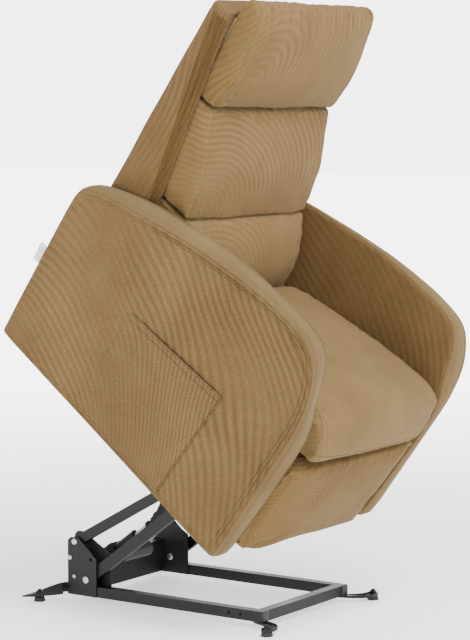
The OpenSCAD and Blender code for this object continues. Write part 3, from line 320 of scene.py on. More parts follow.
leg_line = [(0.195, 0.3722, 0.0310), (0.2005, 0.3795, 0.0306), (0.208, 0.3880, 0.0292),
            (0.217, 0.3970, 0.0268), (0.228, 0.408, 0.0238), (0.239, 0.4200, 0.0203), (0.248, 0.430, 0.0176),
            (0.257, 0.440, 0.0154), (0.265, 0.4495, 0.0138), (0.271, 0.4565, 0.0128)]
leg_wide = [0.0200, 0.0190, 0.0180, 0.0174, 0.0172, 0.0172, 0.0158, 0.0118, 0.0066, 0.0012]
leg_tall = [0.0260, 0.0260, 0.0240, 0.0205, 0.0160, 0.0110, 0.0078, 0.0056, 0.0040, 0.0024]
leg_turn = [0.0, 0.35, 0.75, 1.0, 1.0, 1.0, 1.0, 1.0, 1.0, 1.0]
leg_section = [(-1.0, -0.5), (-1.0, 0.22), (-0.86, 0.42), (-0.66, 0.5), (-0.44, 0.40), (-0.2, 0.28),
               (0.2, 0.28), (0.44, 0.40), (0.66, 0.5), (0.86, 0.42), (1.0, 0.22), (1.0, -0.5),
               (0.84, -0.5), (0.80, 0.05), (-0.80, 0.05), (-0.84, -0.5)]
rings = []
for (x, y, z), wide, tall, turn in zip(leg_line, leg_wide, leg_tall, leg_turn):
    run = Vector((0.645 * turn, 1.0 - 0.236 * turn, 0.0)).normalized()
    over = Vector((run.y, -run.x, 0.0))
    sunk = 0.002 * max(z - 0.0125, 0.0)
    rings.append([tuple(Vector((x, y, z)) + over * wide * a + Vector((0, 0, tall * b - sunk)))
                  for a, b in leg_section])
fitted(closed_piece("stamped_rear_legs", *right_and_left(*lofted(rings))), powder_coat, "base",
       ["rear_foot_legs"])

strap_line = [(0.168, -0.176), (0.1735, -0.187), (0.179, -0.201), (0.185, -0.217), (0.1935, -0.233),
              (0.2055, -0.247), (0.2205, -0.2545), (0.2365, -0.2548), (0.2470, -0.2530), (0.2530, -0.2515)]
strap_wide = [0.009, 0.013, 0.0138, 0.0136, 0.0132, 0.0132, 0.0138, 0.0135, 0.0105, 0.0055]
strap_low = [0.0114, 0.0114, 0.0114, 0.0113, 0.0111, 0.0110, 0.0110, 0.0110, 0.0111, 0.0112]
strap_thick, rolled = 0.0040, 0.0032
rings = []
for k, ((x, y), wide, z) in enumerate(zip(strap_line, strap_wide, strap_low)):
    a, b = strap_line[max(k - 1, 0)], strap_line[min(k + 1, len(strap_line) - 1)]
    run = Vector((b[0] - a[0], b[1] - a[1], 0.0)).normalized()
    over = Vector((run.y, -run.x, 0.0))
    edge = strap_thick + rolled * min(1.0, max(0.0, (k - 2) / 3))
    section = [(-1.0, 0.0), (-1.0, edge), (-0.93, edge + 0.0005), (-0.86, edge), (-0.80, strap_thick),
               (0.80, strap_thick), (0.86, edge), (0.93, edge + 0.0005), (1.0, edge), (1.0, 0.0),
               (0.5, 0.0), (-0.5, 0.0)]
    rings.append([tuple(Vector((x, y, z)) + over * wide * u + Vector((0, 0, v))) for u, v in section])
fitted(closed_piece("bent_front_straps", *right_and_left(*lofted(rings))), powder_coat, "base",
       ["front_foot_straps"])

# Lift motor and gearbox, legrest actuator and control box: black moulded nylon housings with a
# fine spark-eroded texture.
nylon, tree, surface = new_finish("moulded_nylon", 0.55)
two_tone(tree, surface, speckle(tree, 14.0, 3.0), (0.012, 0.012, 0.013), (0.028, 0.028, 0.030))
raised(tree, surface, speckle(tree, 600.0, 3.0), 0.3, 0.0003)
coat_nodes(nylon, ["lift_gearbox", "lift_motor", "control_box", "legrest_actuator"])

# Rail end plugs: black nylon caps with a domed face and a square rim, pushed into the open front
# ends of the side rails.
rail_middle, rail_front, rail_mid_height = 0.1778, base_shift, 0.029
plugs = []
for side in (-1, 1):
    middle, rings = Vector((side * rail_middle, rail_front, rail_mid_height)), []
    for out, half in ((0.0, 0.0128), (0.0018, 0.0128), (0.0026, 0.0118), (0.0031, 0.0090), (0.0033, 0.0050)):
        soft = half * 0.86
        rings.append([tuple(middle + Vector((u, -out, v))) for u, v in (
            (-half, -soft), (-half, soft), (-soft, half), (soft, half),
            (half, soft), (half, -soft), (soft, -half), (-soft, -half))])
    plugs.append(lofted(rings))
fitted(closed_piece("rail_end_plugs", *plugs), nylon, "base")

# Seat and back frames: rails, beams, slats and the legrest board are sawn from plywood, pale with
# darker glue lines, glued and stapled at the corners.
plywood, tree, surface = new_finish("sawn_plywood", 0.7)
place_seen = node(tree, "TexCoord").outputs["Object"]
stretch = node(tree, "Mapping", {"Vector": place_seen, "Scale": (3.0, 22.0, 22.0)})
grain = stretch.outputs["Vector"]
fibre = node(tree, "TexNoise", {"Vector": grain, "Scale": 9.0, "Detail": 8.0}).outputs["Fac"]
plies = node(tree, "TexWave", {"Vector": place_seen, "Scale": 28.0, "Distortion": 1.2}, bands_direction="Z")
layers = node(tree, "Math", {0: fibre, 1: plies.outputs["Fac"]}, operation="MULTIPLY")
two_tone(tree, surface, layers.outputs["Value"], (0.36, 0.22, 0.10), (0.62, 0.44, 0.25))
raised(tree, surface, fibre, 0.2, 0.0005)
coat_nodes(plywood, ["seat_side_rails", "seat_cross_beams", "back_frame", "legrest_board"])

# Arm panels: a foam-wrapped board covered in fine corduroy. One strip of cloth runs up the front
# and back along the top; a welted seam joins it to each side panel.
chair_place = Matrix.Translation((0, 0.030 + base_shift, 0.190)) @ Matrix.Rotation(math.radians(38.4), 4, "X")
rib_pitch, gather_pitch = 0.0042, 0.0048


def corduroy(name, light, dark, pitch, middle, stretch=(1, 1), turn=0.0, bend=3.0, strength=0.1, size=3.0):
    """Ribbed cloth that shimmers in rings round a middle; its cloth map is in metres, ribs run up it."""
    finish, tree, surface = new_finish(name, 0.95)
    for key, value in (("Sheen Weight", 0.10), ("Sheen Roughness", 0.4), ("Sheen Tint", (1.0, 0.9, 0.72, 1)),
                       ("Specular IOR Level", 0.15)):
        surface.inputs[key].default_value = value

    def calc(kind, a, b=0.0):
        return node(tree, "Math", {0: a, 1: b}, operation=kind).outputs["Value"]

    def sum_of(*parts):
        total = calc("MULTIPLY", *parts[0])
        for value, share in parts[1:]:
            total = calc("ADD", total, calc("MULTIPLY", value, share))
        return total

    cloth_map = node(tree, "UVMap", uv_map="cloth").outputs["UV"]
    across = node(tree, "SeparateXYZ", {"Vector": cloth_map}).outputs["X"]
    rib = calc("SINE", calc("MULTIPLY", across, 2 * math.pi / rib_pitch))
    nap = speckle(tree, 6.0, 5.0, Roughness=0.6)
    fuzz = speckle(tree, 480.0)
    drift = speckle(tree, size, 1.0, Roughness=0.4)
    ring = node(tree, "Mapping", {"Vector": cloth_map, "Location": (*middle, 0), "Rotation": (0, 0, turn),
                                  "Scale": (*stretch, 1)}, vector_type="TEXTURE")
    along = node(tree, "VectorMath", {0: ring.outputs["Vector"]}, operation="LENGTH").outputs["Value"]
    wave = calc("SINE", calc("MULTIPLY", sum_of((along, 1.0 / pitch), (drift, bend)), 2 * math.pi))
    patch = calc("ADD", calc("MULTIPLY", speckle(tree, 5.0, 1.0), 3.2), -0.75)
    shade = sum_of((calc("MULTIPLY", wave, patch), strength), (nap, 0.75), (rib, 0.10), (fuzz, 0.35))
    # Painted shade: where the seam map's first value is high, the colour darkens in stripes at the gather
    # pitch across the seam map's second value, for the shade of the small folds that the seam draws in.
    seam = node(tree, "SeparateXYZ", {"Vector": node(tree, "UVMap", uv_map="seam").outputs["UV"]}).outputs
    gather_shade = calc("SINE", calc("MULTIPLY", seam["Y"], 2 * math.pi / gather_pitch))
    drawn = calc("ADD", calc("MULTIPLY", gather_shade, 0.16), 0.12)
    shade = calc("SUBTRACT", shade, calc("MULTIPLY", drawn, seam["X"]))
    two_tone(tree, surface, shade, dark, light, 0.18, 0.92)
    raised(tree, surface, sum_of((rib, 0.5), (fuzz, 1.0)), 0.5, 0.0008)
    return finish


arm_cloth = corduroy("arm_corduroy", (0.190, 0.118, 0.047), (0.088, 0.0515, 0.0185), 0.020, (0.80, -0.30),
                     bend=9.0, strength=0.13, size=2.4)
band_cloth = corduroy("band_corduroy", (0.198, 0.130, 0.057), (0.098, 0.061, 0.024), 0.02, (0, 0),
                      bend=2.0, strength=0.03)
stitch_thread, tree, surface = new_finish("stitch_thread", 0.8)
two_tone(tree, surface, speckle(tree, 900.0), (0.030, 0.017, 0.006), (0.065, 0.038, 0.014))
stitch_pitch, stitch_long, thread_radius = 0.0055, 0.0036, 0.0006


def smooth_loop(points, steps):
    """A closed smooth curve through given points."""
    p = np.asarray(points, float)
    a, b, c, d = np.roll(p, 1, 0), p, np.roll(p, -1, 0), np.roll(p, -2, 0)
    t = (np.arange(steps) / steps)[None, :, None]
    a, b, c, d = (q[:, None, :] for q in (a, b, c, d))
    out = (2 * b + (c - a) * t + (2 * a - 5 * b + 4 * c - d) * t ** 2 + (3 * b - a - 3 * c + d) * t ** 3) / 2
    return out.reshape(-1, p.shape[1])


def even_loop(points, steps, count, passes):
    """A smooth loop with its points evenly spaced and its tight corners eased."""
    loop = smooth_loop(points, steps)
    closed = np.concatenate([loop, loop[:1]])
    far = np.concatenate([[0], np.cumsum(np.linalg.norm(np.diff(closed, axis=0), axis=1))])
    at = np.linspace(0, far[-1], count, endpoint=False)
    loop = np.stack([np.interp(at, far, closed[:, k]) for k in (0, 1)], 1)
    for _ in range(passes):
        loop = loop * 0.5 + (np.roll(loop, 1, 0) + np.roll(loop, -1, 0)) * 0.25
    return loop


def outward(loop):
    edge = np.roll(loop, -1, 0) - loop
    edge = np.stack([-edge[:, 1], edge[:, 0]], 1)
    edge /= np.maximum(np.linalg.norm(edge, axis=1, keepdims=True), 1e-9)
    both = edge + np.roll(edge, 1, 0)
    return both / np.maximum(np.linalg.norm(both, axis=1, keepdims=True), 1e-9)


def ring_piece(name, rings, mirror=False):
    """A piece whose skin runs over rings of points, with a point at each end."""
    n = len(rings[0])
    points = np.concatenate(list(rings) + [rings[0].mean(0)[None], rings[-1].mean(0)[None]])
    faces, m = [], len(rings)
    for j in range(m - 1):
        for i in range(n):
            k = (i + 1) % n
            faces.append((j * n + i, (j + 1) * n + i, (j + 1) * n + k, j * n + k))
    for i in range(n):
        k = (i + 1) % n
        faces.append((m * n, i, k))
        faces.append((m * n + 1, (m - 1) * n + k, (m - 1) * n + i))
    if mirror:
        points = points * np.array([-1, 1, 1])
    return closed_piece(name, (points, faces))


def numbers(items, what, wide=1, kind=np.float32):
    """What a mesh's points, faces or corners hold, a row for each."""
    flat = np.zeros(len(items) * wide, kind)
    items.foreach_get(what, flat)
    return flat.reshape(-1, wide) if wide > 1 else flat


def places(mesh, what="co"):
    return numbers(mesh.vertices, what, 3).astype(float)


def put(mesh, co):
    mesh.vertices.foreach_set("co", np.asarray(co, np.float32).ravel())
    mesh.update()


def rumple(mesh, size, depth, seed, freeze=None):
    """Soft uneven swell of stuffed cloth, along each point's normal."""
    co, normal = places(mesh), places(mesh, "normal")
    shift = np.array([seed * 3.7, seed * 1.3, seed * 2.9])
    swell = np.array([noise.noise(p) for p in co / size + shift]) * depth
    if freeze is not None:
        swell *= np.array([freeze(Vector(p)) for p in co])
    put(mesh, co + normal * swell[:, None])


def lay_cloth(mesh, front=None):
    """Gives the mesh its cloth map: ribs run up the fronts and back along the tops; front, the depth
    of the front edge at each height, lets the map run on round the sides."""
    co = places(mesh)[numbers(mesh.loops, "vertex_index", kind=np.int32)]
    count = numbers(mesh.polygons, "loop_total", kind=np.int32)
    normal = np.abs(np.repeat(numbers(mesh.polygons, "normal", 3), count, axis=0))
    side_share = 0.8
    beside = normal[:, 0] > side_share
    around = co[:, 1]
    if front is not None:
        around = np.sign(co[:, 0]) * (np.abs(co[:, 0]) + co[:, 1] - front(co[:, 2]))
    u = np.where(beside, around, co[:, 0])
    v = np.where(beside | (normal[:, 1] > normal[:, 2]), co[:, 2], co[:, 1])
    layer = mesh.uv_layers.new(name="cloth")
    layer.data.foreach_set("uv", np.stack([u, v], 1).ravel().astype(np.float32))


def dress(piece, finish, body, hides=(), front=None):
    """Finishes a cloth piece made in the chair's own directions and fixes it to its body."""
    lay_cloth(piece.data, front)
    piece.data.transform(chair_place)
    for face in piece.data.polygons:
        face.use_smooth = True
    fitted(piece, finish, body, hides)


def cord_points(line, radius, sides=8, ends="joined"):
    """A thin round tube along a line of points."""
    line = np.asarray(line, float)
    ahead, behind = np.roll(line, -1, 0), np.roll(line, 1, 0)
    if ends != "joined":
        ahead[-1], behind[0] = line[-1], line[0]
    way = ahead - behind
    way /= np.maximum(np.linalg.norm(way, axis=1, keepdims=True), 1e-9)
    up = np.cross(way, [1.0, 0.0, 0.0])
    flat = np.linalg.norm(up, axis=1) < 0.2
    up[flat] = np.cross(way[flat], [0.0, 0.0, 1.0])
    up /= np.linalg.norm(up, axis=1, keepdims=True)
    out = np.cross(way, up)
    turn = 2 * np.pi * np.arange(sides) / sides
    round_it = np.cos(turn)[None, :, None] * up[:, None] + np.sin(turn)[None, :, None] * out[:, None]
    return (line[:, None] + radius * round_it).reshape(-1, 3), tube_faces(len(line), sides, ends)


def piping(name, line, radius, finish, body, ends="flat"):
    dress(add_piece(name, mesh_of(name, *cord_points(line, radius, 8, ends))), finish, body)


def stitches(name, line, body):
    """A row of raised thread stitches along a line that lies on the cloth."""
    line = np.asarray(line, float)
    far = np.concatenate([[0], np.cumsum(np.linalg.norm(np.diff(line, axis=0), axis=1))])
    sewn = []
    for start in np.arange(0, far[-1] - stitch_long, stitch_pitch):
        a, b = (np.array([np.interp(spot, far, line[:, k]) for k in range(3)])
                for spot in (start, start + stitch_long))
        sewn.append(cord_points([a, a * 0.7 + b * 0.3, a * 0.3 + b * 0.7, b], thread_radius, 5, "flat"))
    dress(add_piece(name, mesh_of(name, *joined(sewn))), stitch_thread, body)


arm_depth, arm_height, arm_inside, arm_thick = 0.826, 0.575, 0.290, 0.065
arm_outside = arm_inside + arm_thick
arm_inner_edge = even_loop([(y * arm_depth, z * arm_height) for y, z in (
    (0.036, 0), (0.009, 0.014), (0, 0.07), (0, 0.295), (0.002, 0.52), (0.016, 0.671), (0.053, 0.783),
    (0.079, 0.89), (0.099, 0.944), (0.116, 0.97), (0.142, 0.99), (0.195, 1), (0.287, 0.998), (0.441, 0.993),
    (0.608, 0.951), (0.786, 0.896), (0.938, 0.81), (0.99, 0.765), (1, 0.739), (0.998, 0.63), (0.983, 0.348),
    (0.967, 0.08), (0.959, 0.014), (0.932, 0), (0.484, 0))], 16, 400, 18)
arm_outer_edge = even_loop([(y * arm_depth, z * arm_height) for y, z in (
    (0.036, 0), (0.009, 0.014), (0.004, 0.07), (0.011, 0.295), (0.018, 0.52), (0.022, 0.671), (0.038, 0.8),
    (0.063, 0.878), (0.091, 0.93), (0.113, 0.962), (0.142, 0.978), (0.195, 0.988), (0.287, 0.99),
    (0.441, 0.965), (0.608, 0.922), (0.786, 0.856), (0.908, 0.807), (0.983, 0.76), (0.996, 0.734),
    (0.995, 0.63), (0.98, 0.348), (0.965, 0.08), (0.956, 0.014), (0.932, 0), (0.484, 0))], 16, 400, 18)
arm_middle = np.array([0.41, 0.27])


def arm_edge(share, out):
    loop = arm_inner_edge * (1 - share) + arm_outer_edge * share
    return loop + outward(loop) * out


def arm_ring(x, out, shrink=1.0, swell=0.0):
    """The arm's outline at x, let out by out, drawn to its middle by shrink and moved across by swell."""
    loop = arm_edge((x - arm_inside) / arm_thick, out)
    loop = arm_middle + (loop - arm_middle) * shrink
    return np.concatenate([np.full((len(loop), 1), x + swell), loop], 1)


panel_shares = [0.12, 0.25, 0.38, 0.5, 0.61, 0.71, 0.80, 0.87, 0.925, 0.96, 0.98]
inner_inset, outer_inset, band_puff, groove_deep = -0.008, -0.0048, 0.0012, 0.0022
for side, name in ((1, "left"), (-1, "right")):
    rings = [arm_ring(arm_inside, inner_inset, f, -0.0008 * (1 - f ** 4)) for f in panel_shares]
    rings.append(arm_ring(arm_inside + 0.0002, inner_inset))
    rings += [arm_ring(arm_inside + x, out) for x, out in (
        (0.0012, -0.0048), (0.0032, -0.0030), (0.0046, -0.0030), (0.0062, -0.0008), (0.010, band_puff))]
    rings += [arm_ring(arm_inside + t * arm_thick, band_puff + 0.0022 * math.sin(math.pi * t) - groove)
              for t, groove in ((0.20, 0), (0.235, groove_deep), (0.27, 0), (0.4, 0), (0.5, 0), (0.6, 0),
                                (0.70, 0), (0.735, groove_deep), (0.77, 0), (0.80, 0.0018), (0.825, 0))]
    rings += [arm_ring(arm_outside - x, out) for x, out in (
        (0.010, band_puff), (0.0066, -0.0006), (0.0052, -0.0026), (0.0040, -0.0028), (0.0018, -0.0042))]
    rings += [arm_ring(arm_outside, outer_inset, shrink, swell) for shrink, swell in (
        (0.999, -0.0004), (0.994, 0.0008), (0.987, 0.0017), (0.979, 0.0006), (0.975, -0.0004),
        (0.971, 0.0009), (0.964, 0.0015), (0.957, 0.0008), (0.953, -0.0002), (0.949, 0.0008),
        (0.942, 0.0012), (0.933, 0.0008))]
    rings += [arm_ring(arm_outside, outer_inset, f, 0.0008 + 0.0012 * (1 - f ** 5))
              for f in reversed(panel_shares[:-3])]
    arm = ring_piece("arm_" + name, rings, side < 0)

    def off_inner_face(c):
        return 0.0 if abs(c.x) < arm_inside + 0.004 else 1.0

    def off_both_faces(c):
        return min(1.0, max(0.0, arm_outside - 0.004 - abs(c.x)) * 60) * off_inner_face(c)

    rumple(arm.data, 0.11, 0.0024, 2.0 + side, off_both_faces)
    rumple(arm.data, 0.05, 0.0005, 5.0 + side, off_inner_face)
    dress(arm, arm_cloth, "chair", ["arm_panel_" + name])
    arm.data.materials.append(band_cloth)
    n = len(rings[0])
    first, last = len(panel_shares) + 2, len(rings) - len(panel_shares) - 10
    for j in range(first, last):
        for i in range(n):
            arm.data.polygons[j * n + i].material_index = 1
    # Painted shade: the seam map holds, near the outer welt at the front and top, how strongly the cloth's
    # colour is darkened there and how far each point lies from the welt.
    gather_shade = np.zeros((len(arm.data.vertices), 2))
    for j in range(last, len(rings)):
        far = np.linalg.norm(rings[j][:, 1:] - rings[last][:, 1:], axis=1)
        ahead = np.clip((0.62 - rings[last][:, 1]) / 0.12, 0, 1) * np.clip(rings[last][:, 2] / 0.03, 0, 1)
        gather_shade[j * n:(j + 1) * n] = np.stack([np.exp(-(far / 0.020) ** 2) * ahead, far], 1)
    corner = numbers(arm.data.loops, "vertex_index", kind=np.int32)
    arm.data.uv_layers.new(name="seam").data.foreach_set("uv", gather_shade[corner].ravel().astype(np.float32))
    arm.data.uv_layers.active = arm.data.uv_layers["cloth"]
    for x, out, spot in ((arm_inside + 0.0038, -0.0022, "inner"), (arm_outside - 0.0045, -0.0018, "outer")):
        line = arm_ring(x, out)
        line[:, 0] *= side
        piping(f"arm_{name}_{spot}_welt", line, 0.0017, band_cloth, "chair", "joined")
    for shrink, row, low_end in ((0.9755, "outer", 0.035), (0.9535, "inner", 0.05)):
        line = arm_ring(arm_outside, outer_inset, shrink)
        line[:, 0] = side * (arm_outside + 0.0004)
        line = line[(line[:, 1] < 0.60) & (line[:, 2] > low_end)]
        gap = int(np.argmax(np.linalg.norm(np.diff(line, axis=0, append=line[:1]), axis=1)))
        stitches(f"arm_{name}_{row}_topstitch", np.roll(line, -gap - 1, axis=0), "chair")

# Side pocket: a patch of the same corduroy on the right arm's outer face, sewn down along its
# front, bottom and rear, with a turned and topstitched hem along its open top edge.
pocket_front, pocket_rear, pocket_bottom, pocket_high, pocket_fall = 0.210, 0.522, 0.014, 0.317, 0.018
arm_face = -arm_outside


def pocket_top(y):
    return pocket_high - (y - pocket_front) * pocket_fall / (pocket_rear - pocket_front)


def pocket_point(u, v, deep=0.0):
    y = pocket_front + u * (pocket_rear - pocket_front)
    z = pocket_bottom + v * (pocket_top(y) - pocket_bottom)
    edge = min(u, 1 - u, v * 0.9) * 2
    belly = math.sin(math.pi * u) ** 0.7 * min(1.0, v * 1.15) ** 0.8
    stand = 0.0030 + 0.0048 * min(1, edge * 7) * (0.45 + 0.55 * belly) * min(1, (1 - u) * 3 + 0.1)
    stand -= 0.0006 * max(0.0, (u - 0.9) * 10)
    stand += 0.0010 * noise.noise(Vector((y * 16, z * 22, 1.7))) * min(1, edge * 6)
    stand += 0.0007 * math.sin(y * 190 + z * 60) * min(1, v * 2) * math.exp(-((1 - v) * 9) ** 2)
    return Vector((arm_face - max(stand - deep, 0.0009), y, z))


us, vs = np.linspace(0, 1, 61), np.linspace(0, 1, 57)
points = [pocket_point(u, v) for v in vs for u in us] + [pocket_point(u, v, 0.0016) for v in vs for u in us]
faces, across, half = [], len(us), len(us) * len(vs)
for j in range(len(vs) - 1):
    for i in range(across - 1):
        a = j * across + i
        faces.append((a, a + 1, a + across + 1, a + across))
        faces.append((half + a, half + a + across, half + a + across + 1, half + a + 1))
rim = list(range(across)) + [j * across + across - 1 for j in range(1, len(vs))]
rim += [(len(vs) - 1) * across + i for i in range(across - 2, -1, -1)]
rim += [j * across for j in range(len(vs) - 2, 0, -1)]
for a, b in zip(rim, rim[1:] + rim[:1]):
    faces.append((a, half + a, half + b, b))
pocket = closed_piece("pocket_patch", (points, faces))
dress(pocket, arm_cloth, "chair", ["side_pocket"])
cloth_map = pocket.data.uv_layers["cloth"].data
uv = numbers(cloth_map, "uv", 2)
share = np.clip((pocket_rear - uv[:, 0]) / (pocket_rear - pocket_front), 0, 1)
uv[:, 1] += 0.20 * share ** 2
uv[:, 0] -= 0.07 * share ** 2
cloth_map.foreach_set("uv", uv.ravel())
hem = [pocket_point(u, 0.997) + Vector((0.0002, 0, 0)) for u in np.linspace(0.004, 0.996, 80)]
piping("pocket_hem_roll", hem, 0.0014, arm_cloth, "chair")
thread_out = Vector((0.0004, 0, 0))
seam = [pocket_point(0.012, v) - thread_out for v in np.linspace(0.985, 0.016, 70)]
seam += [pocket_point(u, 0.016) - thread_out for u in np.linspace(0.02, 0.98, 70)]
stitches("pocket_edge_stitch", seam, "chair")
hem_line = [pocket_point(u, 0.945) - thread_out for u in np.linspace(0.02, 0.98, 90)]
stitches("pocket_hem_stitch", hem_line, "chair")
# Painted shade: a near-black strip stands just inside the pocket's top edge, for the shadow in the pocket's
# open mouth.
mouth_shade_finish, tree, surface = new_finish("pocket_mouth_shade", 0.9)
two_tone(tree, surface, speckle(tree, 700.0), (0.022, 0.014, 0.007), (0.050, 0.034, 0.018))
points, strips = [], 70
for u in np.linspace(0.006, 0.994, strips):
    foot = pocket_point(u, 0.985)
    for dx, dz in ((0.0016, 0.0), (0.0030, 0.0), (0.0030, 0.0062), (0.0016, 0.0062)):
        points.append((foot.x + dx, foot.y, foot.z + dz))
dress(closed_piece("pocket_mouth_shade_strip", (points, tube_faces(strips, 4))), mouth_shade_finish, "chair")
edge_fold = [pocket_point(0.0, v) - Vector((0.0003, 0, 0)) for v in np.linspace(0.0, 1.0, 80)]
piping("pocket_front_fold", edge_fold, 0.0012, arm_cloth, "chair")

# Seat cushion: foam in a sewn corduroy cover, crowned in the middle and rolled over its front
# edge, with a seam along each side of its top and one low across its front.
seat_cloth = corduroy("seat_corduroy", (0.215, 0.137, 0.055), (0.112, 0.068, 0.0245), 0.013, (0.30, 0.60),
                      bend=4.0, strength=0.06)


def bake(piece):
    """Puts a piece's modifiers into its mesh."""
    view = bpy.context.evaluated_depsgraph_get()
    mesh = bpy.data.meshes.new_from_object(piece.evaluated_get(view))
    old = piece.data
    piece.modifiers.clear()
    piece.data = mesh
    bpy.data.meshes.remove(old)


def fill_cover(piece, most, sewn):
    """Blows a sewn cover up as cloth under pressure. Points in sewn stay; none moves more than most."""
    even = piece.modifiers.new("even_cloth", "REMESH")
    even.mode = "VOXEL"
    even.voxel_size = 0.006
    bake(piece)
    start = places(piece.data)
    hold = piece.vertex_groups.new(name="sewn")
    for k in np.nonzero(sewn(start))[0]:
        hold.add([int(k)], 1.0, "REPLACE")
    cloth = piece.modifiers.new("filling", "CLOTH")
    for key, value in (("quality", 4), ("mass", 0.25), ("tension_stiffness", 12),
                       ("compression_stiffness", 12), ("shear_stiffness", 5), ("bending_stiffness", 0.4),
                       ("use_pressure", True), ("uniform_pressure_force", 4.0),
                       ("vertex_group_mass", "sewn")):
        setattr(cloth.settings, key, value)
    cloth.settings.effector_weights.gravity = 0
    cloth.collision_settings.use_collision = False
    cloth.collision_settings.use_self_collision = False
    first, last = 1, 20
    cloth.point_cache.frame_start = first
    cloth.point_cache.frame_end = last
    for step in range(first, last + 1):
        bpy.context.scene.frame_set(step)
    shown = piece.evaluated_get(bpy.context.evaluated_depsgraph_get())
    move = places(shown.data) - start
    far = np.linalg.norm(move, axis=1, keepdims=True)
    piece.modifiers.clear()
    piece.vertex_groups.clear()
    put(piece.data, start + move * np.minimum(1.0, most / np.maximum(far, 1e-6)))
    bpy.context.scene.frame_set(first)
    finer = piece.modifiers.new("finer", "SUBSURF")
    finer.levels = 1
    bake(piece)


def swept(outline, weights, half_w, crown, side_r, low, high, count=39, soft=1.0):
    """Rings of a cushion across x, as wide as half_w: sides draw in where soft, the middle crowns."""
    rings = []
    for s in np.sin(np.linspace(-1, 1, count) * math.pi / 2):
        past = max(0.0, (abs(s) * half_w - (half_w - side_r)) / side_r)
        draw = side_r * (1 - math.sqrt(max(0.0, 1 - past * past))) * 0.55
        loop = outline + outward(outline) * (weights * crown * (1 - s * s) - draw * soft)[:, None]
        loop = np.clip(loop, low, high)
        rings.append(np.concatenate([np.full((len(loop), 1), s * half_w), loop], 1))
    inner = []
    for f in (0.9, 0.7, 0.45, 0.2):
        ring = rings[0].copy()
        middle = ring.mean(0)
        ring[:, 1:] = middle[1:] + (ring[:, 1:] - middle[1:]) * f
        inner.append(ring)
    caps = [r * np.array([-1, 1, 1]) for r in inner]
    return list(reversed(inner)) + rings + caps


def weight_loop(w, steps):
    w = np.asarray(w, float)
    t = np.arange(steps) / steps
    return (w[:, None] + (np.roll(w, -1) - w)[:, None] * t[None]).ravel()


def pin_down(mesh, rule):
    """Flattens a cushion where it rests: rule takes and gives its points."""
    put(mesh, rule(places(mesh)))


def off_line(co, x):
    """How far points lie from the lines that run at x on the left and on the right."""
    return np.abs(np.abs(co[:, 0]) - x)


def gathers(mesh, seams, depth, pitch, reach, seed):
    """Small folds that run into a seam; seams gives each point's distance from the nearest one."""
    co, normal = places(mesh), places(mesh, "normal")
    away = seams(co)
    ripple = np.zeros(len(co))
    for k in np.nonzero(away < reach * 2.5)[0]:
        a, b, c = co[k] / pitch
        ripple[k] = noise.noise((a, b, c + seed)) + 0.5 * noise.noise((a * 2.3, b * 2.3, seed))
    put(mesh, co + normal * (depth * ripple * np.exp(-(away / reach) ** 2))[:, None])


def laid_on(piece, line, lift):
    """A line of points drawn onto a piece's surface."""
    from_mesh = bmesh.new()
    from_mesh.from_mesh(piece.data)
    tree = BVHTree.FromBMesh(from_mesh)
    from_mesh.free()
    out = []
    for p in line:
        co, normal, _, _ = tree.find_nearest(Vector(p))
        out.append(co + normal * lift)
    return out


deck, seat_front, seat_depth, seat_half = 0.289, -0.019, 0.527, 0.281
seat_rear = seat_front + seat_depth
seat_edge = smooth_loop([(seat_front + a * seat_depth, deck + b * 0.125) for a, b in (
    (0.075, 0), (0.02, 0.04), (0, 0.27), (0.012, 0.5), (0.05, 0.83), (0.104, 0.985), (0.24, 1),
    (0.435, 0.92), (0.7, 0.72), (0.93, 0.52), (0.985, 0.45), (1, 0.33), (0.995, 0.08), (0.97, 0),
    (0.5, 0))], 5)
seat_weights = weight_loop([0, 0.1, 0.5, 0.9, 1, 1, 1, 1, 1, 0.6, 0.3, 0, 0, 0, 0], 5)
rings = swept(seat_edge, seat_weights, seat_half - 0.002, 0.020, 0.030,
              [seat_front - 0.02, deck], [seat_rear, deck + 0.25])
seat = ring_piece("seat_cushion_cover", rings)
seam_x = seat_half - 0.022
low_seam_z = deck + 0.030


def seat_sewn(co):
    flat = co[:, 2] < deck + 0.004
    rear = co[:, 1] > seat_rear - 0.01
    edge = (off_line(co, seam_x) < 0.004) & (co[:, 2] > deck + 0.01)
    front = (np.abs(co[:, 2] - low_seam_z) < 0.004) & (co[:, 1] < 0.05)
    return flat | rear | edge | front


fill_cover(seat, 0.010, seat_sewn)
rumple(seat.data, 0.13, 0.0030, 4.0)
rumple(seat.data, 0.04, 0.0010, 9.0)


def seat_rests(co):
    co[:, 2] = np.maximum(co[:, 2], deck)
    co[:, 1] = np.minimum(co[:, 1], seat_rear)
    co[:, 0] = np.clip(co[:, 0], -seat_half - 0.004, seat_half + 0.004)
    return co


def near_seat_seams(co):
    behind_front = co[:, 1] > 0.05
    return np.minimum(off_line(co, seam_x), np.abs(co[:, 2] - low_seam_z) + behind_front)


gathers(seat.data, near_seat_seams, 0.0022, 0.022, 0.025, 3.0)
corner_back, corner_top, corner_draw = 0.110, 0.395, 0.040
co = places(seat.data)
drawn = np.clip((corner_back - co[:, 1]) / 0.10, 0, 1) * np.clip((corner_top - co[:, 2]) / 0.07, 0, 1)
drawn *= np.clip(np.abs(co[:, 0]) / 0.16 - 0.6, 0, 1)
co[:, 0] -= np.sign(co[:, 0]) * corner_draw * drawn ** 0.8
put(seat.data, co)
pin_down(seat.data, seat_rests)
for side, spot in ((-1, "right"), (1, "left")):
    top = [(side * seam_x, y, z) for y, z in seat_edge[8:48]]
    piping("seat_side_seam_" + spot, laid_on(seat, top, 0.0002), 0.0011, seat_cloth, "chair")
line = laid_on(seat, [(x, seat_front - 0.01, low_seam_z) for x in np.linspace(-seam_x, seam_x, 90)], 0.0003)
piping("seat_front_seam", line, 0.0011, seat_cloth, "chair")
dress(seat, seat_cloth, "chair", ["seat_cushion"])
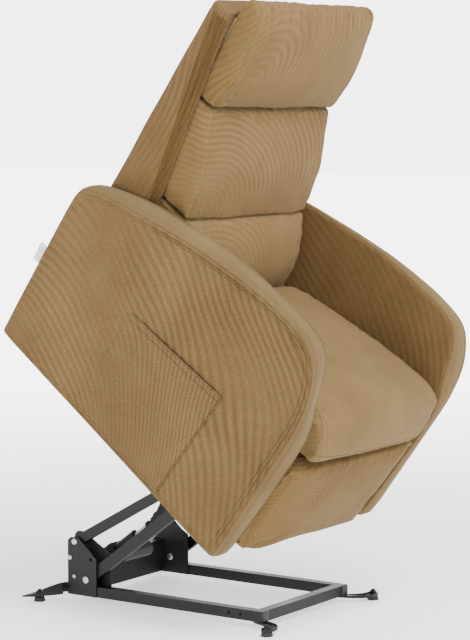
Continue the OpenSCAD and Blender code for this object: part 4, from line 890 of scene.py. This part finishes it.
# Painted shade: the cloth's colour darkens to near black where the seat's front corners draw in beside the
# arms, the shade of a deep fold painted in.
cover = seat_cloth.node_tree
where = node(cover, "SeparateXYZ", {"Vector": node(cover, "TexCoord").outputs["Object"]}).outputs
aside = node(cover, "Math", {0: where["X"]}, operation="ABSOLUTE").outputs["Value"]
painted_gap_shade = 1.0
for reach, start, end in ((aside, 0.196, 0.226), (where["Y"], 0.004, 0.058), (where["Z"], 0.398, 0.362)):
    share = eased(cover, reach, start, end)
    painted_gap_shade = node(cover, "Math", {0: painted_gap_shade, 1: share}, operation="MULTIPLY").outputs["Value"]
base_tone = cover.nodes["Principled BSDF"].inputs["Base Color"]
shaded = node(cover, "MixRGB", {"Fac": painted_gap_shade, "Color1": base_tone.links[0].from_socket,
                                "Color2": (0.012, 0.006, 0.0022, 1)})
cover.links.new(shaded.outputs["Color"], base_tone)

# Legrest: a padded board that hangs below the seat while it is folded, its cover drawn over the
# edges and stapled behind, with slack folds at its sides.
legrest_cloth = corduroy("legrest_corduroy", (0.190, 0.115, 0.040), (0.088, 0.050, 0.0155), 0.012,
                         (-0.19, 0.11), (1.0, 0.7), 0.9, 4.0, 0.10)
leg_y, leg_z, leg_thick, leg_high, leg_half = -0.020, 0.015, 0.056, 0.264, 0.283
leg_rear, leg_top = leg_y + leg_thick, leg_z + leg_high
leg_edge = smooth_loop([(leg_y + a * leg_thick, leg_z + b * leg_high) for a, b in (
    (0.3, 0), (0.06, 0.02), (0, 0.09), (0, 0.5), (0, 0.9), (0.08, 0.98), (0.3, 1), (0.9, 1), (1, 0.97),
    (1, 0.5), (1, 0.03), (0.9, 0))], 6)
leg_soft = weight_loop([0.5, 0.8, 1, 1, 1, 0.8, 0.4, 0.1, 0, 0, 0, 0.3], 6)
leg_crown = weight_loop([0, 0.2, 0.5, 1, 0.4, 0, 0, 0, 0, 0, 0, 0], 6)
rings = swept(leg_edge, leg_crown, leg_half - 0.006, 0.009, 0.085, [leg_y - 0.02, leg_z], [leg_rear, leg_top],
              49, leg_soft)
legrest = ring_piece("legrest_cover", rings)


def legrest_sewn(co):
    tacked = (co[:, 1] > leg_rear - 0.006) | (co[:, 2] > leg_top - 0.006)
    return tacked | (off_line(co, leg_half - 0.030) < 0.004)


def near_legrest_seams(co):
    return np.minimum(off_line(co, leg_half - 0.02), np.abs(co[:, 2] - leg_z - leg_high))


def legrest_rests(co):
    return np.stack([np.clip(co[:, 0], -leg_half - 0.003, leg_half + 0.003), np.minimum(co[:, 1], leg_rear),
                     np.clip(co[:, 2], leg_z - 0.002, leg_top)], 1)


fill_cover(legrest, 0.008, legrest_sewn)
rumple(legrest.data, 0.10, 0.0030, 12.0)
gathers(legrest.data, near_legrest_seams, 0.0030, 0.030, 0.04, 8.0)
pin_down(legrest.data, legrest_rests)
dress(legrest, legrest_cloth, "legrest_panel", ["legrest_pad"])

# Rear skirt: a stiffened panel of the same cloth that closes the chair behind and below the seat,
# stapled between the arms.
skirt_front, skirt_mid, skirt_rear, skirt_half = 0.766, 0.774, 0.782, 0.2897
skirt_heights = [0.010, 0.085, 0.160, 0.235]
skirt_edge = [(skirt_front, z) for z in skirt_heights] + [(skirt_mid, skirt_heights[-1])]
skirt_edge += [(skirt_rear, z) for z in reversed(skirt_heights)] + [(skirt_mid, skirt_heights[0])]
rings = swept(smooth_loop(skirt_edge, 6), np.zeros(60), skirt_half - 0.0004, 0.0, 0.006,
              [skirt_front, skirt_heights[0]], [skirt_rear + 0.002, skirt_heights[-1]])
skirt = ring_piece("rear_skirt_cover", rings)
rumple(skirt.data, 0.08, 0.0012, 21.0)


def skirt_rests(co):
    co[:, 0] = np.clip(co[:, 0], -skirt_half, skirt_half)
    return co


pin_down(skirt.data, skirt_rests)
dress(skirt, arm_cloth, "chair", ["rear_skirt"])

# Back shell: padded wings, rear and top round the back cushions, one cover pulled over the frame
# and drawn in by several rows of stitching where it meets the cushions.
shell_cloth = corduroy("shell_corduroy", (0.170, 0.103, 0.040), (0.078, 0.044, 0.0157), 0.017, (0.95, 0.55),
                       (1, 2.2), 0.0, 4.0, 0.12)
# Painted shade: a darker copy of the shell cloth for the wings' front strip, with the shade in the folds
# drawn in by the stitching painted into its colour.
fold_shade_cloth = corduroy("fold_shade_corduroy", (0.118, 0.066, 0.020), (0.052, 0.027, 0.008), 0.012, (0.95, 0.55),
                      (1, 2.2), 0.0, 2.0, 0.14)
shell_half, shell_thick, shell_low, shell_high = 0.278, 0.014, 0.302, 0.960
frame_foot, frame_low, lean = 0.722, 0.300, math.tan(math.radians(4))
rear_foot, rear_lean, wing_deep = 0.796, 0.042, 0.1914


def back_plane(z):
    return frame_foot + (z - frame_low) * lean


def shell_rear(z):
    return rear_foot + rear_lean * (z - shell_low) / (shell_high - shell_low)


def shell_front(z):
    share = (z - shell_low) / (shell_high - shell_low)
    return shell_rear(z) - wing_deep * np.interp(share, [0, 0.3, 0.85, 1.03], [0.97, 0.75, 0.43, 0.33])


def shell_ring(z, filled, inset):
    """Points round the shell at one height: outside from the left front edge to the right one, then
    inside, where the wings thicken behind the cushions."""
    front, rear, w, t, r = shell_front(z), shell_rear(z) - inset, shell_half - inset, shell_thick, 0.024
    plump, thicker = 1 - inset * 20, 0.0150
    outer = [(w - 0.002, front + 0.001), (w, front + 0.004)]
    for f in np.linspace(0.12, 0.995, 34) ** 1.5:
        y = front + 0.004 + (rear - r - front - 0.004) * f
        bulge = 0.0045 * math.sin(math.pi * min(1, f * 1.02)) * plump
        fold = 0.0034 * sum(math.exp(-((y - front - d) / 0.0028) ** 2) for d in (0.007, 0.015, 0.024, 0.034))
        outer.append((w + bulge - fold, y))
    for k in range(1, 9):
        a = math.pi / 2 * k / 9
        outer.append((w - r + r * math.cos(a), rear - r + r * math.sin(a)))
    half = outer + [((w - r) * (1 - k / 14), rear + 0.005 * math.sin(math.pi * k / 28) * plump)
                    for k in range(14)]
    outer = half + [(-x, y) for x, y in reversed(half)]
    inside = front + 0.010 if filled else rear - t
    inner, side_count = [], 36
    for k, (x, y) in enumerate(outer):
        k = min(k, len(outer) - 1 - k)
        way = 1 if x > 0 else -1
        if k < side_count:
            y = front + 0.002 + (inside - front - 0.002) * k / (side_count - 1)
            inner.append((way * (w - t - thicker * min(1, max(0, (y - back_plane(z) - 0.002) / 0.003))), y))
        else:
            share = 1 - (k - side_count + 1) / (len(outer) / 2 - side_count + 0.5)
            inner.append((way * (w - t - thicker) * share, inside))
    loop = outer + list(reversed(inner))
    return np.array([(x, y, z) for x, y in loop])


def zipped_ends(rows, n):
    """Faces that close both ends of a folded tube, from one side of the fold to the other."""
    return [(j * n + i, j * n + i + 1, j * n + n - 2 - i, j * n + n - 1 - i)
            for j in (0, rows - 1) for i in range(n // 2 - 1)]


levels = [(z, False, 0.0) for z in np.linspace(shell_low, 0.944, 60)]
levels += [(0.948, True, 0.0), (0.956, True, 0.0)]
top_r = 0.013
levels += [(0.963 + top_r * math.sin(a), True, top_r * (1 - math.cos(a))) for a in np.linspace(0.1, 1.45, 6)]
rings = [shell_ring(*level) for level in levels]
rows, n = len(rings), len(rings[0])
faces = tube_faces(rows, n, "open") + zipped_ends(rows, n)
shell = closed_piece("back_shell_cover", (np.concatenate(rings), faces))
rumple(shell.data, 0.12, 0.0022, 31.0,
       lambda c: 0.0 if c.x ** 2 < 0.07 and c.y < shell_rear(c.z) - 0.01 else 1.0)
finer = shell.modifiers.new("finer", "SUBSURF")
finer.levels = 1
bake(shell)
folded = [f.index for f in shell.data.polygons
          if abs(f.center.x) > shell_half - 0.006 and f.center.z < 0.955
          and f.center.y < shell_front(f.center.z) + 0.022 + 0.024 * (f.center.z - 0.4) / 0.55]
for side, spot in ((1, "left"), (-1, "right")):
    line = [(side * (shell_half - 0.0045), shell_rear(z) - 0.0035, z)
            for z in np.linspace(shell_low + 0.01, 0.95, 120)]
    piping("shell_corner_seam_" + spot, laid_on(shell, line, 0.0004), 0.0014, shell_cloth, "backrest")
    line = [(side * (shell_half + 0.004), shell_front(z) + 0.0155, z) for z in np.linspace(0.45, 0.955, 110)]
    stitches("shell_wing_stitch_" + spot, laid_on(shell, line, 0.0005), "backrest")
dress(shell, shell_cloth, "backrest", ["back_shell"])
# The darker fold cloth goes on the folded front strip of each wing: painted shade.
shell.data.materials.append(fold_shade_cloth)
for k in folded:
    shell.data.polygons[k].material_index = 1

# Back cushions: head, middle and lower, each a foam block in its own sewn cover with boxed sides,
# hooked to the sloping frame one above the other so that only a thin dark line shows between.
cushion_half, widest, reach = 0.261, 0.2636, 0.206
edge_x = cushion_half - 0.014


def back_cover(name, outline, weights, z0, z1, seed):
    """A back cushion's cover between two heights, filled, drawn in at its seams and rested on the frame."""
    outline = np.stack([np.minimum(outline[:, 0], back_plane(outline[:, 1])), outline[:, 1]], 1)
    soft = np.clip((back_plane(outline[:, 1]) - outline[:, 0]) / 0.03, 0.05, 1)
    rings = swept(outline, weights, cushion_half - 0.001, 0.011, 0.018, [seat_rear + 0.001, z0], [0.80, z1],
                  soft=soft)
    cover = ring_piece(name, rings)

    def sewn(co):
        resting = co[:, 1] > back_plane(co[:, 2]) - 0.006
        sides = off_line(co, edge_x) < 0.004
        ends = (co[:, 2] < z0 + 0.005) | (co[:, 2] > z1 - 0.005)
        return resting | sides | ends

    def near_seams(co):
        return np.minimum(off_line(co, edge_x), np.minimum(co[:, 2] - z0, z1 - co[:, 2]))

    fill_cover(cover, 0.010, sewn)
    rumple(cover.data, 0.12, 0.0028, seed)
    rumple(cover.data, 0.035, 0.0008, seed + 5)
    gathers(cover.data, near_seams, 0.0020, 0.020, 0.022, seed)
    if name.startswith("head"):
        co, normal = places(cover.data), places(cover.data, "normal")
        pucker = np.zeros(len(co))
        for k in range(15):
            x = -0.225 + 0.45 * k / 14 + 0.012 * math.sin(k * 5.1)
            deep = 0.0030 + 0.0016 * math.sin(k * 2.3)
            slant = (z1 - co[:, 2]) * 0.12 * math.sin(k * 1.7)
            pucker += deep * np.exp(-((co[:, 0] - x - slant) / 0.0042) ** 2)
        away = np.maximum(0, z1 - 0.012 - co[:, 2])
        pucker *= np.exp(-(away / 0.030) ** 2) * (normal[:, 1] < -0.2)
        put(cover.data, co - normal * pucker[:, None])

    def rests(co):
        co[:, 2] = np.clip(co[:, 2], z0, z1)
        co[:, 1] = np.minimum(co[:, 1], back_plane(co[:, 2]))
        co[:, 0] = np.clip(co[:, 0], -widest, widest)
        return co

    pin_down(cover.data, rests)
    return cover


# Painted light: the cushions are of one cloth, but its tones are set apart per cushion, lighter on the lower
# one against the shade it sits in and a little darker on the head.
for name, painted_light_tones, shimmer, z0, z1, shares, weights, seed in (
        ("lower", ((0.222, 0.145, 0.059), (0.106, 0.065, 0.0235)), (0.0115, (-0.16, 0.36), (1.6, 1.0), 0.2),
         0.322, 0.514, [(0.96, 0), (1, 0.11), (0.975, 0.43), (0.855, 0.755), (0.74, 0.955), (0.66, 1)],
         [0, 0, 0.7, 1, 0.3, 0], 41.0),
        ("middle", ((0.198, 0.123, 0.048), (0.094, 0.055, 0.0192)),
         (0.0118, (-0.262, 0.515), (1.5, 1.0), 0.35),
         0.518, 0.763, [(0.66, 0), (0.71, 0.05), (0.605, 0.46), (0.41, 0.82), (0.34, 0.96), (0.27, 1)],
         [0, 0.3, 1, 1, 0.3, 0], 47.0),
        ("head", ((0.186, 0.115, 0.042), (0.088, 0.051, 0.0168)), (0.0145, (-0.205, 0.835), (1.8, 1.0), 0.89),
         0.768, 1.030, [(0.27, 0), (0.325, 0.05), (0.345, 0.145), (0.36, 0.41), (0.31, 0.71), (0.24, 0.93)],
         [0, 0.3, 0.8, 1, 0.8, 0.4], 53.0)):
    cushion_cloth = corduroy(name + "_corduroy", *painted_light_tones, *shimmer, bend=4.0, strength=0.10)
    h = z1 - z0
    line = [(back_plane(z0 + up * h) - deep * reach, z0 + up * h) for deep, up in shares]
    if name == "head":
        top, over_frame, foot = back_plane(z1), back_plane(0.958), back_plane(z0)
        line += [(top - 0.16 * reach, z1), (top - 0.07 * reach, z1), (over_frame, z1 - 0.07 * h),
                 (over_frame, z1 - 0.25 * h), (foot, z0 + 0.03 * h), (foot - 0.01, z0)]
    else:
        for s in (1, 0.97, 0.5, 0.03, 0):
            z = z0 + s * h
            line.append((back_plane(z) - (0.01 if s in (0, 1) else 0), z))
    weights = weight_loop(weights + [0] * (len(line) - len(weights)), 5)
    outline = smooth_loop(line, 5)
    cover = back_cover(name + "_cushion_cover", outline, weights, z0, z1, seed)
    front = outline[2:5 * (7 if name == "head" else 5)]
    for side, spot in ((1, "left"), (-1, "right")):
        edge = laid_on(cover, [(side * edge_x, y, z) for y, z in front], 0.0002)
        piping(f"{name}_cushion_seam_{spot}", edge, 0.0009, cushion_cloth, "backrest")
    dress(cover, cushion_cloth, "backrest", [name + "_cushion"],
          lambda z: np.interp(z, front[:, 1], front[:, 0]))

# Blank woven tag: a short loop of white tape with nothing on it, folded once and caught in the
# rear seam of the right arm panel.
tag_cloth, tree, surface = new_finish("white_tape", 0.85)
place_seen = node(tree, "TexCoord").outputs["Object"]
threads = node(tree, "TexWave", {"Vector": place_seen, "Scale": 900.0}, bands_direction="Z").outputs["Fac"]
two_tone(tree, surface, threads, (0.62, 0.61, 0.58), (0.90, 0.89, 0.87))
raised(tree, surface, threads, 0.3, 0.0002)
tag_low, tag_tall, tag_long = 0.203, 0.047, 0.0168
loop = [(0.0, 0.0009), (0.006, 0.0012), (0.012, 0.0013), (0.0155, 0.0011), (tag_long, 0.0), (0.0155, -0.0011),
        (0.012, -0.0013), (0.006, -0.0012), (0.0, -0.0009)]
points, rows = [], 12
for j in range(rows):
    z = tag_low + tag_tall * j / (rows - 1)
    rear = arm_outer_edge[np.abs(arm_outer_edge[:, 1] - z) < 0.012, 0].max() - 0.003
    for a, b in loop + [(x, y * 0.55) for x, y in reversed(loop)]:
        curl = 0.0016 * math.sin(j * 0.6) * (a / tag_long)
        points.append((-(arm_outside - 0.007) - b + curl, rear + a * 1.45, z))
n = 2 * len(loop)
faces = tube_faces(rows, n, "open") + zipped_ends(rows, n)
dress(closed_piece("blank_tag", (points, faces)), tag_cloth, "chair")
